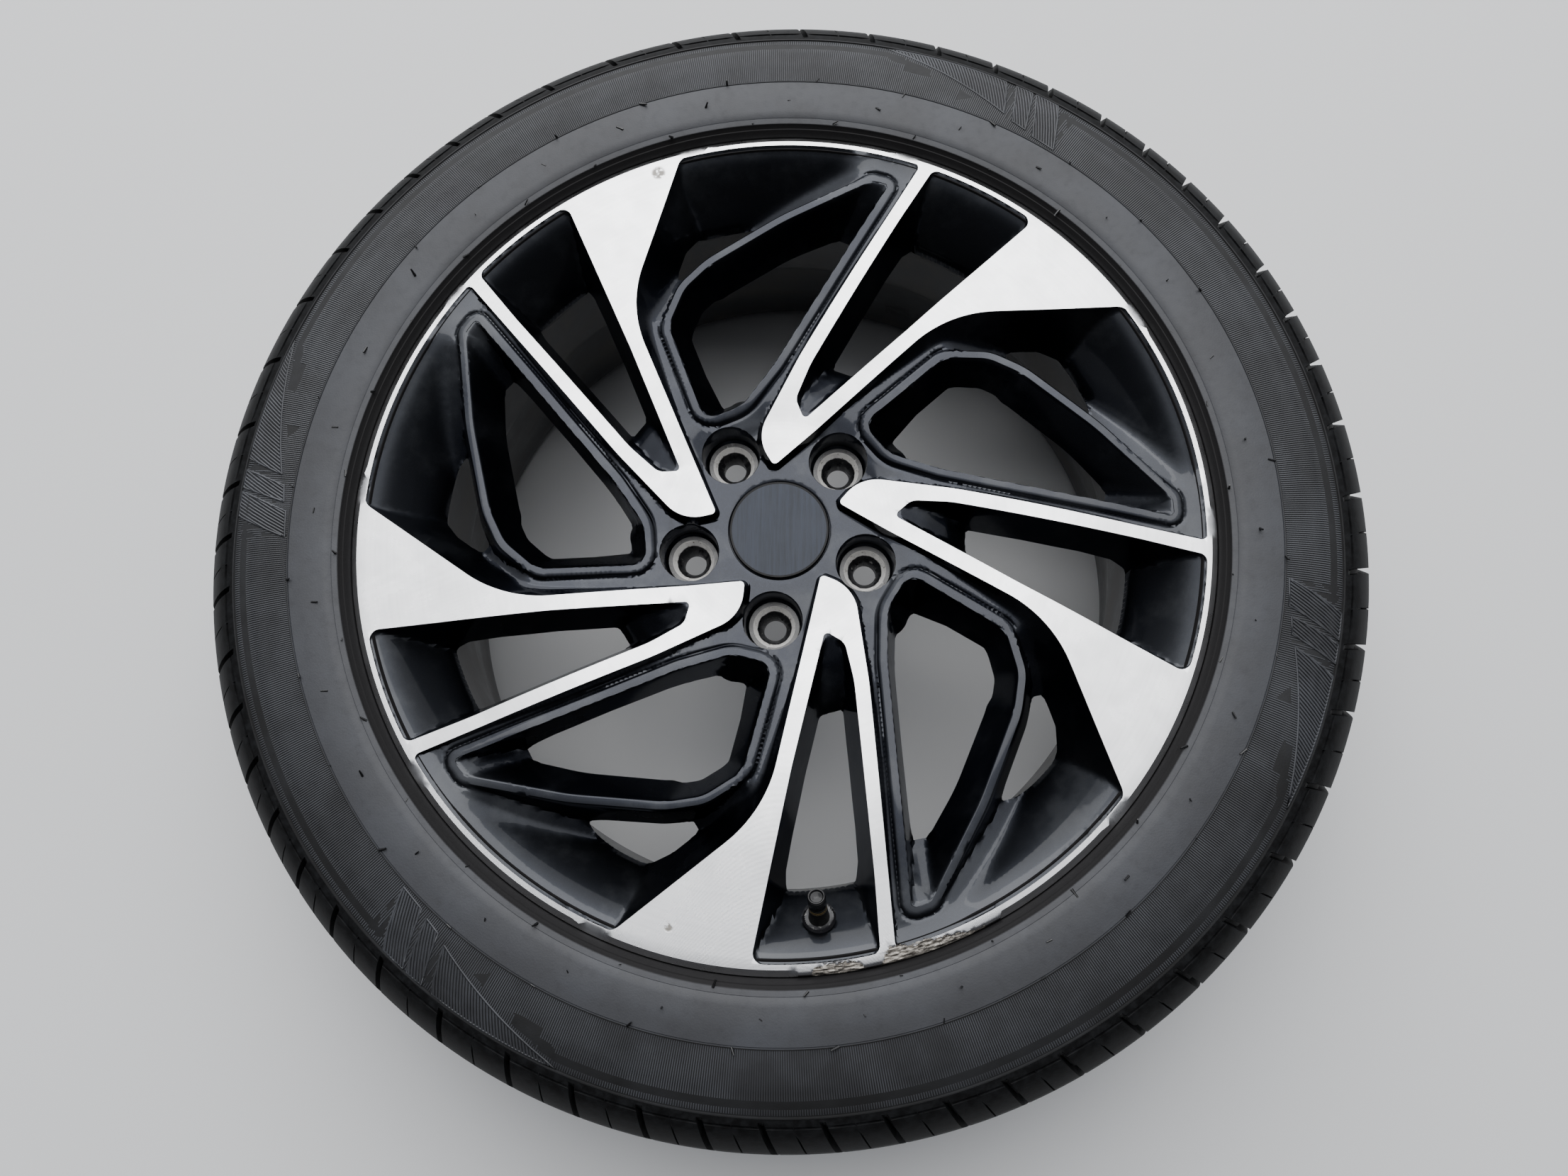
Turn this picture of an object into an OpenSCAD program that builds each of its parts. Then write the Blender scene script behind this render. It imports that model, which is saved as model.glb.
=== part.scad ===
// Wheel and tyre assembly, millimetres.
// The wheel lies on its inboard side with its face up; Z is the wheel's axis.
// The origin is the middle of the hub mounting face at the back of the hub.
// Angles run counter-clockwise as the face is seen, from the right-hand side.

/* [Rim] */
// Diameter over the bead seats
rim_d = 487.4; // [484:0.2:492]
// Width between the two flanges
rim_w = 190.5; // [180:0.5:204]
// Distance from the rim's middle plane out to the hub face
hub_offset = 50; // [46:0.5:53]
// Height of a flange above its bead seat
flange_h = 18.6; // [17.6:0.2:19.6]
// Radius that the tyre rests against on each flange
flange_curve = 9.5; // [8.5:0.1:10]
// Depth of the well below the bead seats
well_depth = 20.7; // [19:0.1:22]
// Thickness of the barrel at the well
barrel_wall = 5; // [4:0.25:6.5]

/* [Hub] */
// Diameter of the centre bore
bore_d = 67.1; // [64:0.1:70]
// Depth of the centre bore from the hub face
bore_depth = 19.5; // [18:0.5:21]
// Depth of the relief above the bore, where the cap's clips hook
relief_l = 2.5; // [2:0.1:3]
// Outside diameter of the hub pad
pad_d = 150; // [144:1:156]
// Height of the painted hub face
hub_h = 40.3; // [38:0.1:41]
// Diameter of the hole that the cap clips into
cap_hole_d = 57; // [54:0.5:60]
// Diameter of the circle through the lug holes
bolt_circle_d = 114.3; // [112:0.1:118]
// Number of lug holes
lug_count = 5; // [5:1:5]
// Diameter of a lug hole
lug_hole_d = 14.5; // [13:0.1:15.5]
// Diameter of a lug pocket at the face
lug_pocket_d = 36.4; // [34:0.2:37]
// Diameter of the conical seat at its rim
seat_d = 26.5; // [24:0.5:28]
// Height of the flat floor round each seat
seat_h = 19; // [17:0.5:22]
// Included angle of the conical seat
seat_angle = 60; // [56:1:70]

/* [Spokes] */
// Height of the machined face where it is highest
face_h = 57.4; // [57:0.1:58]
// Thickness of a spoke at its middle
spoke_t = 27.4; // [25:0.2:30]
// Radius of the machined lip's inner edge
lip_in_r = 255.6; // [254.6:0.1:256.2]

/* [Tyre] */
// Outside diameter
tyre_d = 730; // [720:1:740]
// Width over the sidewalls
section_w = 223; // [219:0.5:228]
// Width of the tread
tread_w = 170; // [160:1:176]
// Depth of the tread grooves
groove_d = 7; // [5:0.5:8]
// Number of blocks round each shoulder
block_count = 60; // [50:2:66]
// Gap between the tyre and the rim at the beads
bead_gap = 0.3; // [0.2:0.05:0.4]
// Sidewall thickness
wall_t = 11; // [9:0.5:12.5]

/* [Centre cap] */
// Diameter of the cap's rim
cap_d = 62.4; // [60.6:0.2:64]
// Thickness of the cap's rim
cap_t = 3; // [2.4:0.1:3.6]
// Diameter of the disc set in the cap
disc_d = 58.6; // [56:0.2:59.4]
// Thickness of the disc
disc_t = 1.2; // [0.8:0.1:1.6]
// Number of clip legs
leg_count = 6; // [4:1:8]
// Length of the clip legs
leg_l = 16; // [15.4:0.2:17]
// Wire diameter of the spring ring behind the legs
wire_d = 1.6; // [1.2:0.1:1.8]

/* [Valve] */
// Angle of the valve round the wheel
valve_angle = -83.8; // [-90:0.2:-78]
// Lean of the valve towards the wheel's axis
valve_tilt = 30; // [27:1:32]
// Radius at which the valve's axis leaves the pocket floor
valve_r = 232; // [231:0.5:233]
// Diameter of the valve hole in the rim
valve_hole_d = 11.3; // [11:0.1:11.8]
// Wall left round the valve hole
valve_web = 4; // [3.4:0.2:4.6]
// Diameter of the recess in front of the valve hole
valve_recess_d = 17; // [16.4:0.2:18]
// Length of the stem in front of the valve hole
stem_l = 30.6; // [29:0.2:32]
// Outside diameter of the stem's thread
thread_d = 7.7; // [7.5:0.05:7.9]
// Outside diameter of the valve cap
valve_cap_d = 10.5; // [10:0.1:11.5]
// Length of the valve cap
valve_cap_l = 11.6; // [11:0.2:12.4]
// Diameter of the core's bore in the stem
core_d = 5.2; // [5:0.05:5.5]
// Diameter of the core pin
pin_d = 1.3; // [1.1:0.05:1.4]

/* [Fits] */
// Radial play of a piece that turns or slides
run_fit = 0.08; // [0.05:0.01:0.1]
// Radial gap between pieces that are pressed or bonded
seat_gap = 0.05; // [0.03:0.01:0.08]

/* [View] */
// Piece to build, or all

/* [Hidden] */
$fn = 96;
seat_r = rim_d / 2;
flange_r = seat_r + flange_h;
mid_z = -hub_offset;
out_z = mid_z + rim_w / 2;
in_z = mid_z - rim_w / 2;
well_r = seat_r - well_depth;
bore_in_r = well_r - barrel_wall;
lug_r = bolt_circle_d / 2;
lug_angle = 122.5;
face_scale = lip_in_r / 255.6;
// Heights of the face follow its highest point
face_dz = face_h - 57.4;
back_z = face_h - spoke_t;
floor_z = out_z - 20.25;
step_z = out_z - 10.25;
lip_z = out_z + 7.65;
cap_seat_z = hub_h - 1.8;
clip_z = bore_depth + relief_l;
// The valve's own frame has its zero on the front of the web round its hole
valve_floor_z = floor_z + (valve_r - 219) * (step_z - floor_z) / 17.5;
recess_l = 8.5;
shoulder_s = stem_l - 10.6;
thread_top = stem_l;
cap_base = shoulder_s + 1.9;
cap_seal_t = 1;
cap_in = thread_top + cap_seal_t + seat_gap;
core_top = thread_top - 0.6;
core_base = thread_top - 17;

// Unit vector, and the angle of a vector
function unit(v) = v / norm(v);
function heading(v) = atan2(v[1], v[0]);
// Turn from one angle to another, the short way round
function turn(a, b) = let (d = b - a) d - 360 * round(d / 360);
// Points on a circle about the wheel's axis, as corners without a radius
function ring(r, a, b, n) = [for (i = [0:n]) [r * cos(a + (b - a) * i / n), r * sin(a + (b - a) * i / n), 0]];
// Arc in a profile: centre, radius, first and last angle
function bend(c, r, a, b, n) = [for (i = [0:n]) c + r * [cos(a + (b - a) * i / n), sin(a + (b - a) * i / n)]];
function flat(p) = [p[0], p[1]];
// Outline from corners [x, y, radius], each corner rounded to its radius
function soft(p, n = 5) = let (k = len(p)) [
    for (i = [0:k - 1])
        let (b = flat(p[i]), r = p[i][2])
        let (u = unit(flat(p[(i + k - 1) % k]) - b), v = unit(flat(p[(i + 1) % k]) - b))
        let (half = acos(max(-1, min(1, u * v))) / 2)
        if (r == 0 || half > 89.9) b
        else
            let (c = b + unit(u + v) * r / sin(half), t = r / tan(half))
            let (a0 = heading(b + u * t - c), da = turn(a0, heading(b + v * t - c)))
            for (j = [0:n]) c + r * [cos(a0 + da * j / n), sin(a0 + da * j / n)]
];

// Outside of one machined V spoke, from its tip by the hub to the lip
spoke_corners = concat(
    [[-3.4, 39.4, 2.5], [105.5, 135.4, 80], [214.6, 139.5, 9]],
    ring(256.6, 31, 29, 1), [[265, 130, 0], [225, 225, 0], [75, 285, 0]], ring(256.6, 73, 71, 1),
    [[89.8, 239.3, 4], [12.4, 109.6, 200], [-14.7, 57.8, 24]]);
// Window between the two arms of a V
window_corners = concat(
    [[15.2, 69, 2.6], [79, 124.2, 300], [160.6, 198.8, 6]], ring(255.6, 53.4, 65.4, 5),
    [[97.9, 236.1, 5], [76, 201.2, 400], [19, 104, 80], [9.8, 82, 9]]);
// Hole inside a raised loop
loop_corners = [[-47.5, 69.8, 9], [-24, 79.5, 22], [-4, 106, 60], [69.4, 227.2, 2.5], [58, 230.5, 7],
    [2, 203, 150], [-46, 173, 55], [-62, 157, 25], [-71.8, 132, 14]];
// Recess between a loop, the lip and the next wide arm
recess_corners = concat(
    [[-80, 130, 2], [-74, 146, 20], [-63, 158.5, 25], [-44, 175.5, 60], [0, 207.5, 200], [36, 226.5, 20],
    [49, 238.6, 3]], ring(244, 81, 103, 5),
    [[-66, 235.6, 8], [-87.2, 163, 40], [-88.5, 146, 30]]);

module prism(corners, z0, z1) {
    translate([0, 0, z0])
        linear_extrude(z1 - z0)
            polygon([for (p = soft(corners)) p * face_scale]);
}

// Space to the left of the line p to q, closing in by the angle lean below height z
module beside(p, q, lean, z) {
    translate([p[0] * face_scale, p[1] * face_scale, z])
        rotate([0, 0, heading(q - p)])
            rotate([lean, 0, 0])
                translate([-300, 0, -150])
                    cube([600, 300, 300]);
}

module sectors(n = 5) {
    for (i = [0:n - 1])
        rotate([0, 0, i * 360 / n])
            children();
}

module turned(points) {
    rotate_extrude(convexity = 6)
        polygon(points);
}

// The valve's frame: its axis leans inwards out of the pocket floor
module at_valve() {
    rotate([0, 0, valve_angle])
        translate([valve_r, 0, valve_floor_z])
            rotate([0, -valve_tilt, 0])
                translate([0, 0, -recess_l])
                    children();
}

function face_points() = [[0, 46.5 + face_dz], [64, 47.5 + face_dz], [78, 49.1 + face_dz], [97, 51.6 + face_dz],
    [136, 55.7 + face_dz], [155, 56.9 + face_dz], [175, face_h], [195, 57.1 + face_dz], [214, 56.4 + face_dz],
    [243, 55.9 + face_dz]];

// Whole casting before anything is cut: face, lip, barrel, flanges, bead seats, humps, well and hub
module blank() {
    turned(concat(
        face_points(),
        [[lip_in_r, 55.6 + face_dz], [flange_r - 1, lip_z + 0.6], [flange_r, lip_z], [flange_r, lip_z - 1.2]],
        bend([flange_r - flange_curve, out_z + flange_curve], flange_curve, -25, -90, 5),
        [[seat_r, out_z], [seat_r - 1.7, out_z - 19.2], [seat_r - 1.1, out_z - 21.7], [seat_r - 1.3, out_z - 23.2],
        [seat_r - 6.7, out_z - 28], [well_r, out_z - 49], [well_r, out_z - 81], [seat_r - 11.7, out_z - 97],
        [seat_r - 7.7, in_z + 45], [seat_r - 1.3, in_z + 26], [seat_r - 1.1, in_z + 21.7],
        [seat_r - 1.7, in_z + 19.2], [seat_r, in_z]],
        bend([flange_r - flange_curve, in_z - flange_curve], flange_curve, 90, 25, 5),
        [[flange_r, in_z - 8.6], [flange_r - 1.5, in_z - 10.8], [seat_r + 9, in_z - 10.8],
        [seat_r - 2, in_z - 7.5], [seat_r - 6.5, in_z - 2], [seat_r - 7.7, in_z + 26], [seat_r - 13, in_z + 47],
        [seat_r - 16.7, out_z - 99], [bore_in_r, out_z - 83], [bore_in_r, floor_z - 8], [bore_in_r - 3, floor_z - 1],
        [205, back_z - 2], [185, back_z], [150, back_z - 1], [118, back_z - 4], [92, back_z - 12],
        [pad_d / 2 + 3, 4], [pad_d / 2, 0], [0, 0]]));
}

// Painted level between the V spokes: the hub face, the loops' crests and the slope under the lip
module painted_cut() {
    difference() {
        turned([[0, hub_h], [62, hub_h], [86, 45.6], [145, 50], [202, 53.2], [236, 53.4], [241, 51],
            [lip_in_r, 55.2 + face_dz], [lip_in_r, 70], [0, 70]]);
        sectors()
            prism(spoke_corners, 30, 80);
    }
}

// Window: sloped floors at both ends and leaning sides
module window_cut() {
    intersection() {
        prism(window_corners, -20, 80);
        turned([[68, 50.5], [107, 37], [116, 26], [116, -12], [bore_in_r - 1, -12], [bore_in_r - 1, floor_z - 5],
            [219, floor_z], [236.5, step_z], [241, 51], [lip_in_r + 6, 56.8 + face_dz], [lip_in_r + 6, 80],
            [60, 80]]);
        beside([18, 72], [156, 195], 14, 56);
        beside([97.9, 236.1], [19, 104], 17, 56);
    }
}

module loop_cut() {
    intersection() {
        prism(loop_corners, -20, 80);
        beside([-71, 133], [-50, 77], 19, 48);
        beside([-46, 173], [-71, 135], 20, 51);
        beside([58, 230.5], [-46, 173], 23, 53);
        beside([69.4, 226], [57, 230.5], 55, 53);
        beside([-4, 106], [69.4, 227.2], 11, 52);
        beside([-24, 79.5], [-4, 106], 14, 46);
        beside([-47.5, 70.3], [-24, 79.5], 23, 45);
    }
}

module recess_cut() {
    intersection() {
        prism(recess_corners, -20, 80);
        turned([[100, -12], [bore_in_r - 1, -12], [bore_in_r - 1, floor_z - 5], [219, floor_z], [236.5, step_z],
            [243, 58.1], [243, 80], [100, 80]]);
        beside([-66, 243], [-89, 166], 27, 57);
        beside([-90.5, 150], [-86, 122], 27, 57);
        beside([-44, 175.5], [36, 226.5], 25, 52);
        beside([-80, 131], [-63, 158.5], 25, 50);
    }
}

// One lug hole: pocket, flat floor, conical seat and hole
module lug_cut() {
    cone_l = (seat_d - lug_hole_d) / 2 / tan(seat_angle / 2);
    translate([lug_r, 0, 0])
        turned([[0, -1], [lug_hole_d / 2, -1], [lug_hole_d / 2, seat_h - cone_l], [seat_d / 2, seat_h],
            [lug_pocket_d / 2 - 2.4, seat_h], [lug_pocket_d / 2 - 0.9, seat_h + 1.5],
            [lug_pocket_d / 2, hub_h - 1], [lug_pocket_d / 2 + 3, hub_h + 2], [lug_pocket_d / 2 + 3, 70],
            [0, 70]]);
}

// Recess, hole and back spot face for the valve
module valve_cut() {
    at_valve() {
        cylinder(d = valve_recess_d, h = recess_l + 5);
        translate([0, 0, -valve_web - 1])
            cylinder(d = valve_hole_d, h = valve_web + 2);
        translate([0, 0, -valve_web - 14])
            cylinder(d = valve_recess_d + 1, h = 14);
    }
}

module wheel() {
    color("silver")
        difference() {
            blank();
            painted_cut();
            sectors() {
                window_cut();
                loop_cut();
                recess_cut();
            }
            sectors(lug_count)
                rotate([0, 0, lug_angle])
                    lug_cut();
            translate([0, 0, -1])
                cylinder(d = bore_d, h = bore_depth + 1);
            cylinder(d = cap_hole_d + 5, h = clip_z);
            cylinder(d = cap_hole_d, h = 80);
            translate([0, 0, cap_seat_z])
                cylinder(d = cap_d + 0.6, h = 40);
            valve_cut();
        }
}

// Half of the tyre's outside, outboard, as [radius, distance from the middle plane]
function tyre_side(w, crown) = concat(
    [[crown, 0], [crown - 0.4, 30], [crown - 1.6, 58], [crown - 4, tread_w / 2 - 8], [crown - 7, tread_w / 2]],
    [[crown - 13, tread_w / 2 + 8], [crown - 21, w - 11], [crown - 29, w - 8.2], [crown - 30, w - 8.6],
    [crown - 42, w - 4], [seat_r + 68, w - 2.2], [seat_r + 55.6, w - 1.4], [seat_r + 55, w - 0.8],
    [seat_r + 42, w], [seat_r + 30, w - 0.8], [flange_r + 7, w - 1.9], [flange_r + 5.2, w - 3.4],
    [flange_r + 3.6, w - 4.2], [flange_r + 2.4, w - 5.6], [flange_r + 0.9, w - 7.6],
    [flange_r + 0.4, rim_w / 2 + 5.2]]);

// Inside and bead of the same half, from the flange to the middle
function tyre_bead(w, crown) = concat(
    bend([flange_r - flange_curve, rim_w / 2 + flange_curve], flange_curve + bead_gap, -27, -90, 4),
    [[seat_r + 3, rim_w / 2 - bead_gap], [seat_r + bead_gap, rim_w / 2 - 2.5],
    [seat_r - 1 + bead_gap, rim_w / 2 - 16], [seat_r + 1, rim_w / 2 - 17.5], [seat_r + 12, rim_w / 2 - 9],
    [seat_r + 24, w - wall_t - 2.5], [seat_r + 45, w - wall_t], [crown - 42, w - wall_t - 3],
    [crown - 24, tread_w / 2], [crown - 16, tread_w / 2 - 14], [crown - 14, 30], [crown - 14, 0]]);

function facing(p, side) = [for (q = p) [q[0], mid_z + side * q[1]]];

module tyre_half(side) {
    turned(facing(concat(tyre_side(section_w / 2, tyre_d / 2), tyre_bead(section_w / 2, tyre_d / 2)), side));
}

module tyre() {
    color("#34373b")
        difference() {
            union() {
                tyre_half(1);
                tyre_half(-1);
            }
            // Grooves that run round the tread
            for (z = [-42, -15, 15, 42])
                translate([0, 0, mid_z + z - 4])
                    difference() {
                        cylinder(r = tyre_d / 2 + 5, h = 8);
                        cylinder(r = tyre_d / 2 - groove_d, h = 8);
                    }
            // Cross grooves between the shoulder blocks
            for (i = [0:block_count - 1], side = [-1, 1])
                rotate([0, 0, (i + side / 4) * 360 / block_count])
                    translate([tyre_d / 2 - groove_d, -1.5, mid_z + side * (tread_w / 2 + 12) - 40])
                        cube([30, 3, 80]);
        }
}

// Cap with a rim, a thin floor and clip legs that hook behind the hole's edge
module centre_cap() {
    leg_r = cap_hole_d / 2 - 0.3;
    hook_z = cap_seat_z - leg_l;
    color("#17181a") {
        turned([[0, cap_seat_z], [cap_d / 2 - 0.4, cap_seat_z], [cap_d / 2, cap_seat_z + 0.4],
            [cap_d / 2, cap_seat_z + cap_t - 0.8], [cap_d / 2 - 0.8, cap_seat_z + cap_t],
            [disc_d / 2 + seat_gap, cap_seat_z + cap_t], [disc_d / 2 + seat_gap, cap_seat_z + cap_t - disc_t],
            [0, cap_seat_z + cap_t - disc_t]]);
        intersection() {
            turned([[leg_r - 2, cap_seat_z + 0.5], [leg_r, cap_seat_z + 0.5], [leg_r, clip_z - 0.4],
                [leg_r + 1.4, clip_z - 1.2], [leg_r, hook_z - 2], [leg_r - 2, hook_z - 2],
                [leg_r - 2, hook_z + 0.4], [leg_r - 1, hook_z + 0.4], [leg_r - 1, hook_z + 0.6 + wire_d],
                [leg_r - 2, hook_z + 0.6 + wire_d]]);
            sectors(leg_count)
                translate([0, -6, 0])
                    cube([60, 12, 60]);
        }
    }
}

module cap_disc() {
    color("slategray")
        translate([0, 0, cap_seat_z + cap_t - disc_t])
            cylinder(d = disc_d, h = disc_t);
}

module cap_spring_ring() {
    leg_r = cap_hole_d / 2 - 0.3;
    color("gainsboro")
        translate([0, 0, cap_seat_z - leg_l + 0.5 + wire_d / 2])
            rotate_extrude()
                translate([leg_r - 1.05 - wire_d / 2, 0])
                    circle(d = wire_d, $fn = 16);
}

// Snap-in rubber body: bulb behind the web, neck in the hole and cone in front
module valve_rubber() {
    stem_in = thread_d / 2 - 0.2 + seat_gap;
    color("#1b1b1c")
        at_valve()
            turned([[stem_in, -valve_web - 8.5], [5.2, -valve_web - 8.5], [6.4, -valve_web - 6],
                [7.6, -valve_web - 0.6], [7.2, -valve_web], [valve_hole_d / 2 - 0.3, -valve_web],
                [valve_hole_d / 2 - 0.3, 0], [7.4, 0], [7.7, 1.2], [7.4, 3], [6.4, 7], [5.7, 13],
                [5.4, shoulder_s], [stem_in, shoulder_s]]);
}

// Brass stem with its collar, thread and core bore
module valve_stem() {
    r = thread_d / 2;
    color("#c9a458")
        at_valve()
            turned([[core_d / 2, thread_top], [r - 0.5, thread_top], [r, thread_top - 0.6],
                [r, cap_base + 0.2], [r - 0.3, cap_base], [r + 1.15, cap_base - 0.1],
                [r + 1.4, cap_base - 0.5], [r + 1.4, shoulder_s], [r - 0.2, shoulder_s],
                [r - 0.2, -valve_web - 8.5], [1.9, -valve_web - 8.5], [1.9, core_base - 1],
                [core_d / 2 - 0.4, core_base + 8.2], [core_d / 2, core_base + 8.8]]);
}

// Core screwed into the stem: head, waist and barrel round the pin
module core_body() {
    color("#b8a06a")
        at_valve()
            turned([[pin_d / 2 + run_fit, core_top], [core_d / 2 - run_fit, core_top],
                [core_d / 2 - run_fit, core_top - 5.4], [1.75, core_top - 5.6], [1.75, core_base + 1],
                [pin_d / 2 + run_fit, core_base + 1], [pin_d / 2 + run_fit, core_base + 1.8],
                [1.3, core_base + 1.8], [1.3, core_top - 6.4], [pin_d / 2 + run_fit, core_top - 6.4]]);
}

// Seal round the core's waist
module core_seal() {
    color("#a63a32")
        at_valve()
            turned([[1.75 + seat_gap, core_top - 5.7], [core_d / 2 - 0.15, core_top - 5.7],
                [core_d / 2 - 0.15, core_top - 7.2], [1.75 + seat_gap, core_top - 8.4]]);
}

// Pin that opens the valve when it is pressed, with a collar that the spring pushes on
module core_pin() {
    color("#c9a458")
        at_valve()
            turned([[0, core_top + 0.2], [pin_d / 2, core_top + 0.2], [pin_d / 2, core_top - 7.2],
                [1.2, core_top - 7.2], [1.2, core_top - 8], [pin_d / 2, core_top - 8],
                [pin_d / 2, core_base - 2.6], [0, core_base - 2.6]]);
}

// Cup seal on the pin's inner end
module pin_seal() {
    color("#2a2a2c")
        at_valve()
            turned([[pin_d / 2 + seat_gap, core_base + 0.95], [1.55, core_base + 0.95], [1.7, core_base + 0.4],
                [1.7, core_base - 1.2], [pin_d / 2 + seat_gap, core_base - 1.2]]);
}

// Spring between the barrel's foot and the pin's collar, as one helix.
// Its level section is long, because the wire crosses it at a low angle.
module core_spring() {
    from_s = core_base + 1.85;
    color("gainsboro")
        at_valve()
            translate([0, 0, from_s])
                linear_extrude(core_top - 8.05 - from_s, twist = -360 * 5, slices = 60, $fn = 6)
                    polygon([[0.8, -0.4], [0.92, -0.7], [1.1, -0.4], [1.1, 0.4], [0.92, 0.7], [0.8, 0.4]]);
}

// Screw cap with a raised edge round its top
module valve_cap() {
    in_r = thread_d / 2 + run_fit;
    r = valve_cap_d / 2;
    top = cap_base + valve_cap_l;
    color("#101011")
        at_valve()
            turned([[0, cap_in], [in_r, cap_in], [in_r, cap_base + 0.15], [r - 0.3, cap_base + 0.15],
                [r, cap_base + 0.6], [r, top - 1.6], [r - 0.5, top - 0.5], [r - 1, top], [r - 1.5, top],
                [r - 1.9, top - 0.5], [0, top - 0.5]]);
}

module valve_cap_seal() {
    color("#3a3a3c")
        at_valve()
            translate([0, 0, thread_top])
                cylinder(d = thread_d - 0.4, h = cap_seal_t);
}

wheel();
tyre();
centre_cap();
cap_disc();
cap_spring_ring();
valve_rubber();
valve_stem();
core_body();
core_seal();
core_pin();
pin_seal();
core_spring();
valve_cap();
valve_cap_seal();
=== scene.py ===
import math

import bmesh
import bpy
import numpy as np
from mathutils import Matrix, Vector, noise
from mathutils.geometry import delaunay_2d_cdt


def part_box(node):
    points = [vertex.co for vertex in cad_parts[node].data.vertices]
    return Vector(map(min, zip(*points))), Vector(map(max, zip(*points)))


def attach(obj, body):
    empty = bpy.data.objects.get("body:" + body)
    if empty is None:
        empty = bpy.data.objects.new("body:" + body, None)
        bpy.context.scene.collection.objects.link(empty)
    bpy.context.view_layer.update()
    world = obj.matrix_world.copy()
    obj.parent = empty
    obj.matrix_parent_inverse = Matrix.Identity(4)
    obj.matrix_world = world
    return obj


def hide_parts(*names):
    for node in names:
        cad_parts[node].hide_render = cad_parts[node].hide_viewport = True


# A car wheel and its tyre, lying face up. Sizes are in millimetres until a mesh is made.
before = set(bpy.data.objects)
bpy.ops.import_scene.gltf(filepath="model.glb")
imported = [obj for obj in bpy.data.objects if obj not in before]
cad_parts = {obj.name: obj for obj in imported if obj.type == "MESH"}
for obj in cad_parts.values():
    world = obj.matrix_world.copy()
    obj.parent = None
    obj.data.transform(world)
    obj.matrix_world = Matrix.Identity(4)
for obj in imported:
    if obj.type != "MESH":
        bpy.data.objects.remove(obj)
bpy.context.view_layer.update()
mm = 0.001

# Camera at the photo's viewing angle, worked out from the rim, the spokes and the tyre's rings
cameraSettings = {
    "place": (32.92, -188.79, 730.97),
    "right": (0.999122, 0.008998, -0.040910),
    "up": (0.0, 0.97666, 0.21481),
    "focalPixels": 1633.77,
    "imageWidth": 2212.0,
    "sensorWidth": 36.0,
}


def makeCamera(s):
    data = bpy.data.cameras.new("camera")
    data.sensor_width = s["sensorWidth"]
    data.sensor_fit = "HORIZONTAL"
    data.lens = s["focalPixels"] * s["sensorWidth"] / s["imageWidth"]
    data.clip_start = 0.01
    camera = bpy.data.objects.new("camera", data)
    bpy.context.scene.collection.objects.link(camera)
    right = Vector(s["right"]).normalized()
    up = Vector(s["up"])
    up = (up - right * up.dot(right)).normalized()
    back = right.cross(up)
    turn = Matrix((right, up, back)).transposed().to_4x4()
    camera.matrix_world = Matrix.Translation(Vector(s["place"]) * mm) @ turn
    bpy.context.scene.camera = camera


makeCamera(cameraSettings)
print("camera placed")


# Helpers for outlines and profiles
def headingOf(v):
    return math.atan2(v[1], v[0])


def softOutline(corners, longest=3.0, steps=6):
    # Corners [x, y, radius] become points: arcs at the corners, short steps between them
    count = len(corners)
    points = []
    for i in range(count):
        b = np.array(corners[i][:2], float)
        radius = corners[i][2]
        u = np.array(corners[i - 1][:2], float) - b
        v = np.array(corners[(i + 1) % count][:2], float) - b
        u = u / np.linalg.norm(u)
        v = v / np.linalg.norm(v)
        half = math.acos(max(-1.0, min(1.0, float(u @ v)))) / 2
        if radius == 0 or half > math.radians(89.9):
            points.append(b)
            continue
        middle = (u + v) / np.linalg.norm(u + v)
        c = b + middle * radius / math.sin(half)
        reach = radius / math.tan(half)
        a0 = headingOf(b + u * reach - c)
        swing = headingOf(b + v * reach - c) - a0
        swing -= 2 * math.pi * round(swing / (2 * math.pi))
        n = max(steps, int(abs(swing) * radius / longest) + 1)
        for j in range(n + 1):
            a = a0 + swing * j / n
            points.append(c + radius * np.array([math.cos(a), math.sin(a)]))
    return shortSteps(np.array(points), longest, True)


def shortSteps(points, longest, closed):
    out = []
    last = len(points) if closed else len(points) - 1
    for i in range(last):
        a = points[i]
        b = points[(i + 1) % len(points)]
        gap = np.linalg.norm(b - a)
        if gap < 0.02:
            continue
        n = max(1, math.ceil(gap / longest))
        for j in range(n):
            out.append(a + (b - a) * j / n)
    if not closed:
        out.append(points[-1])
    return np.array(out)


def ringPart(radius, a, b, n):
    angles = [math.radians(a + (b - a) * i / n) for i in range(n + 1)]
    return [[radius * math.cos(t), radius * math.sin(t), 0] for t in angles]


def smoothProfile(points):
    # Cubic curve through [radius, height] points that doesn't overshoot
    x = np.array([p[0] for p in points], float)
    y = np.array([p[1] for p in points], float)
    h = np.diff(x)
    d = np.diff(y) / h
    product = d[:-1] * d[1:]
    between = np.where(product > 0, 2 * product / (d[:-1] + d[1:] + 1e-12), 0)
    m = np.concatenate([[d[0]], between, [d[-1]]])

    def at(r):
        r = np.clip(r, x[0], x[-1])
        i = np.clip(np.searchsorted(x, r) - 1, 0, len(h) - 1)
        t = (r - x[i]) / h[i]
        return ((2 * t**3 - 3 * t**2 + 1) * y[i] + (t**3 - 2 * t**2 + t) * h[i] * m[i]
                + (3 * t**2 - 2 * t**3) * y[i + 1] + (t**3 - t**2) * h[i] * m[i + 1])
    return at


def turnPoints(p, degrees):
    a = math.radians(degrees)
    c = math.cos(a)
    s = math.sin(a)
    return np.stack([p[:, 0] * c - p[:, 1] * s, p[:, 0] * s + p[:, 1] * c], 1)


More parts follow.
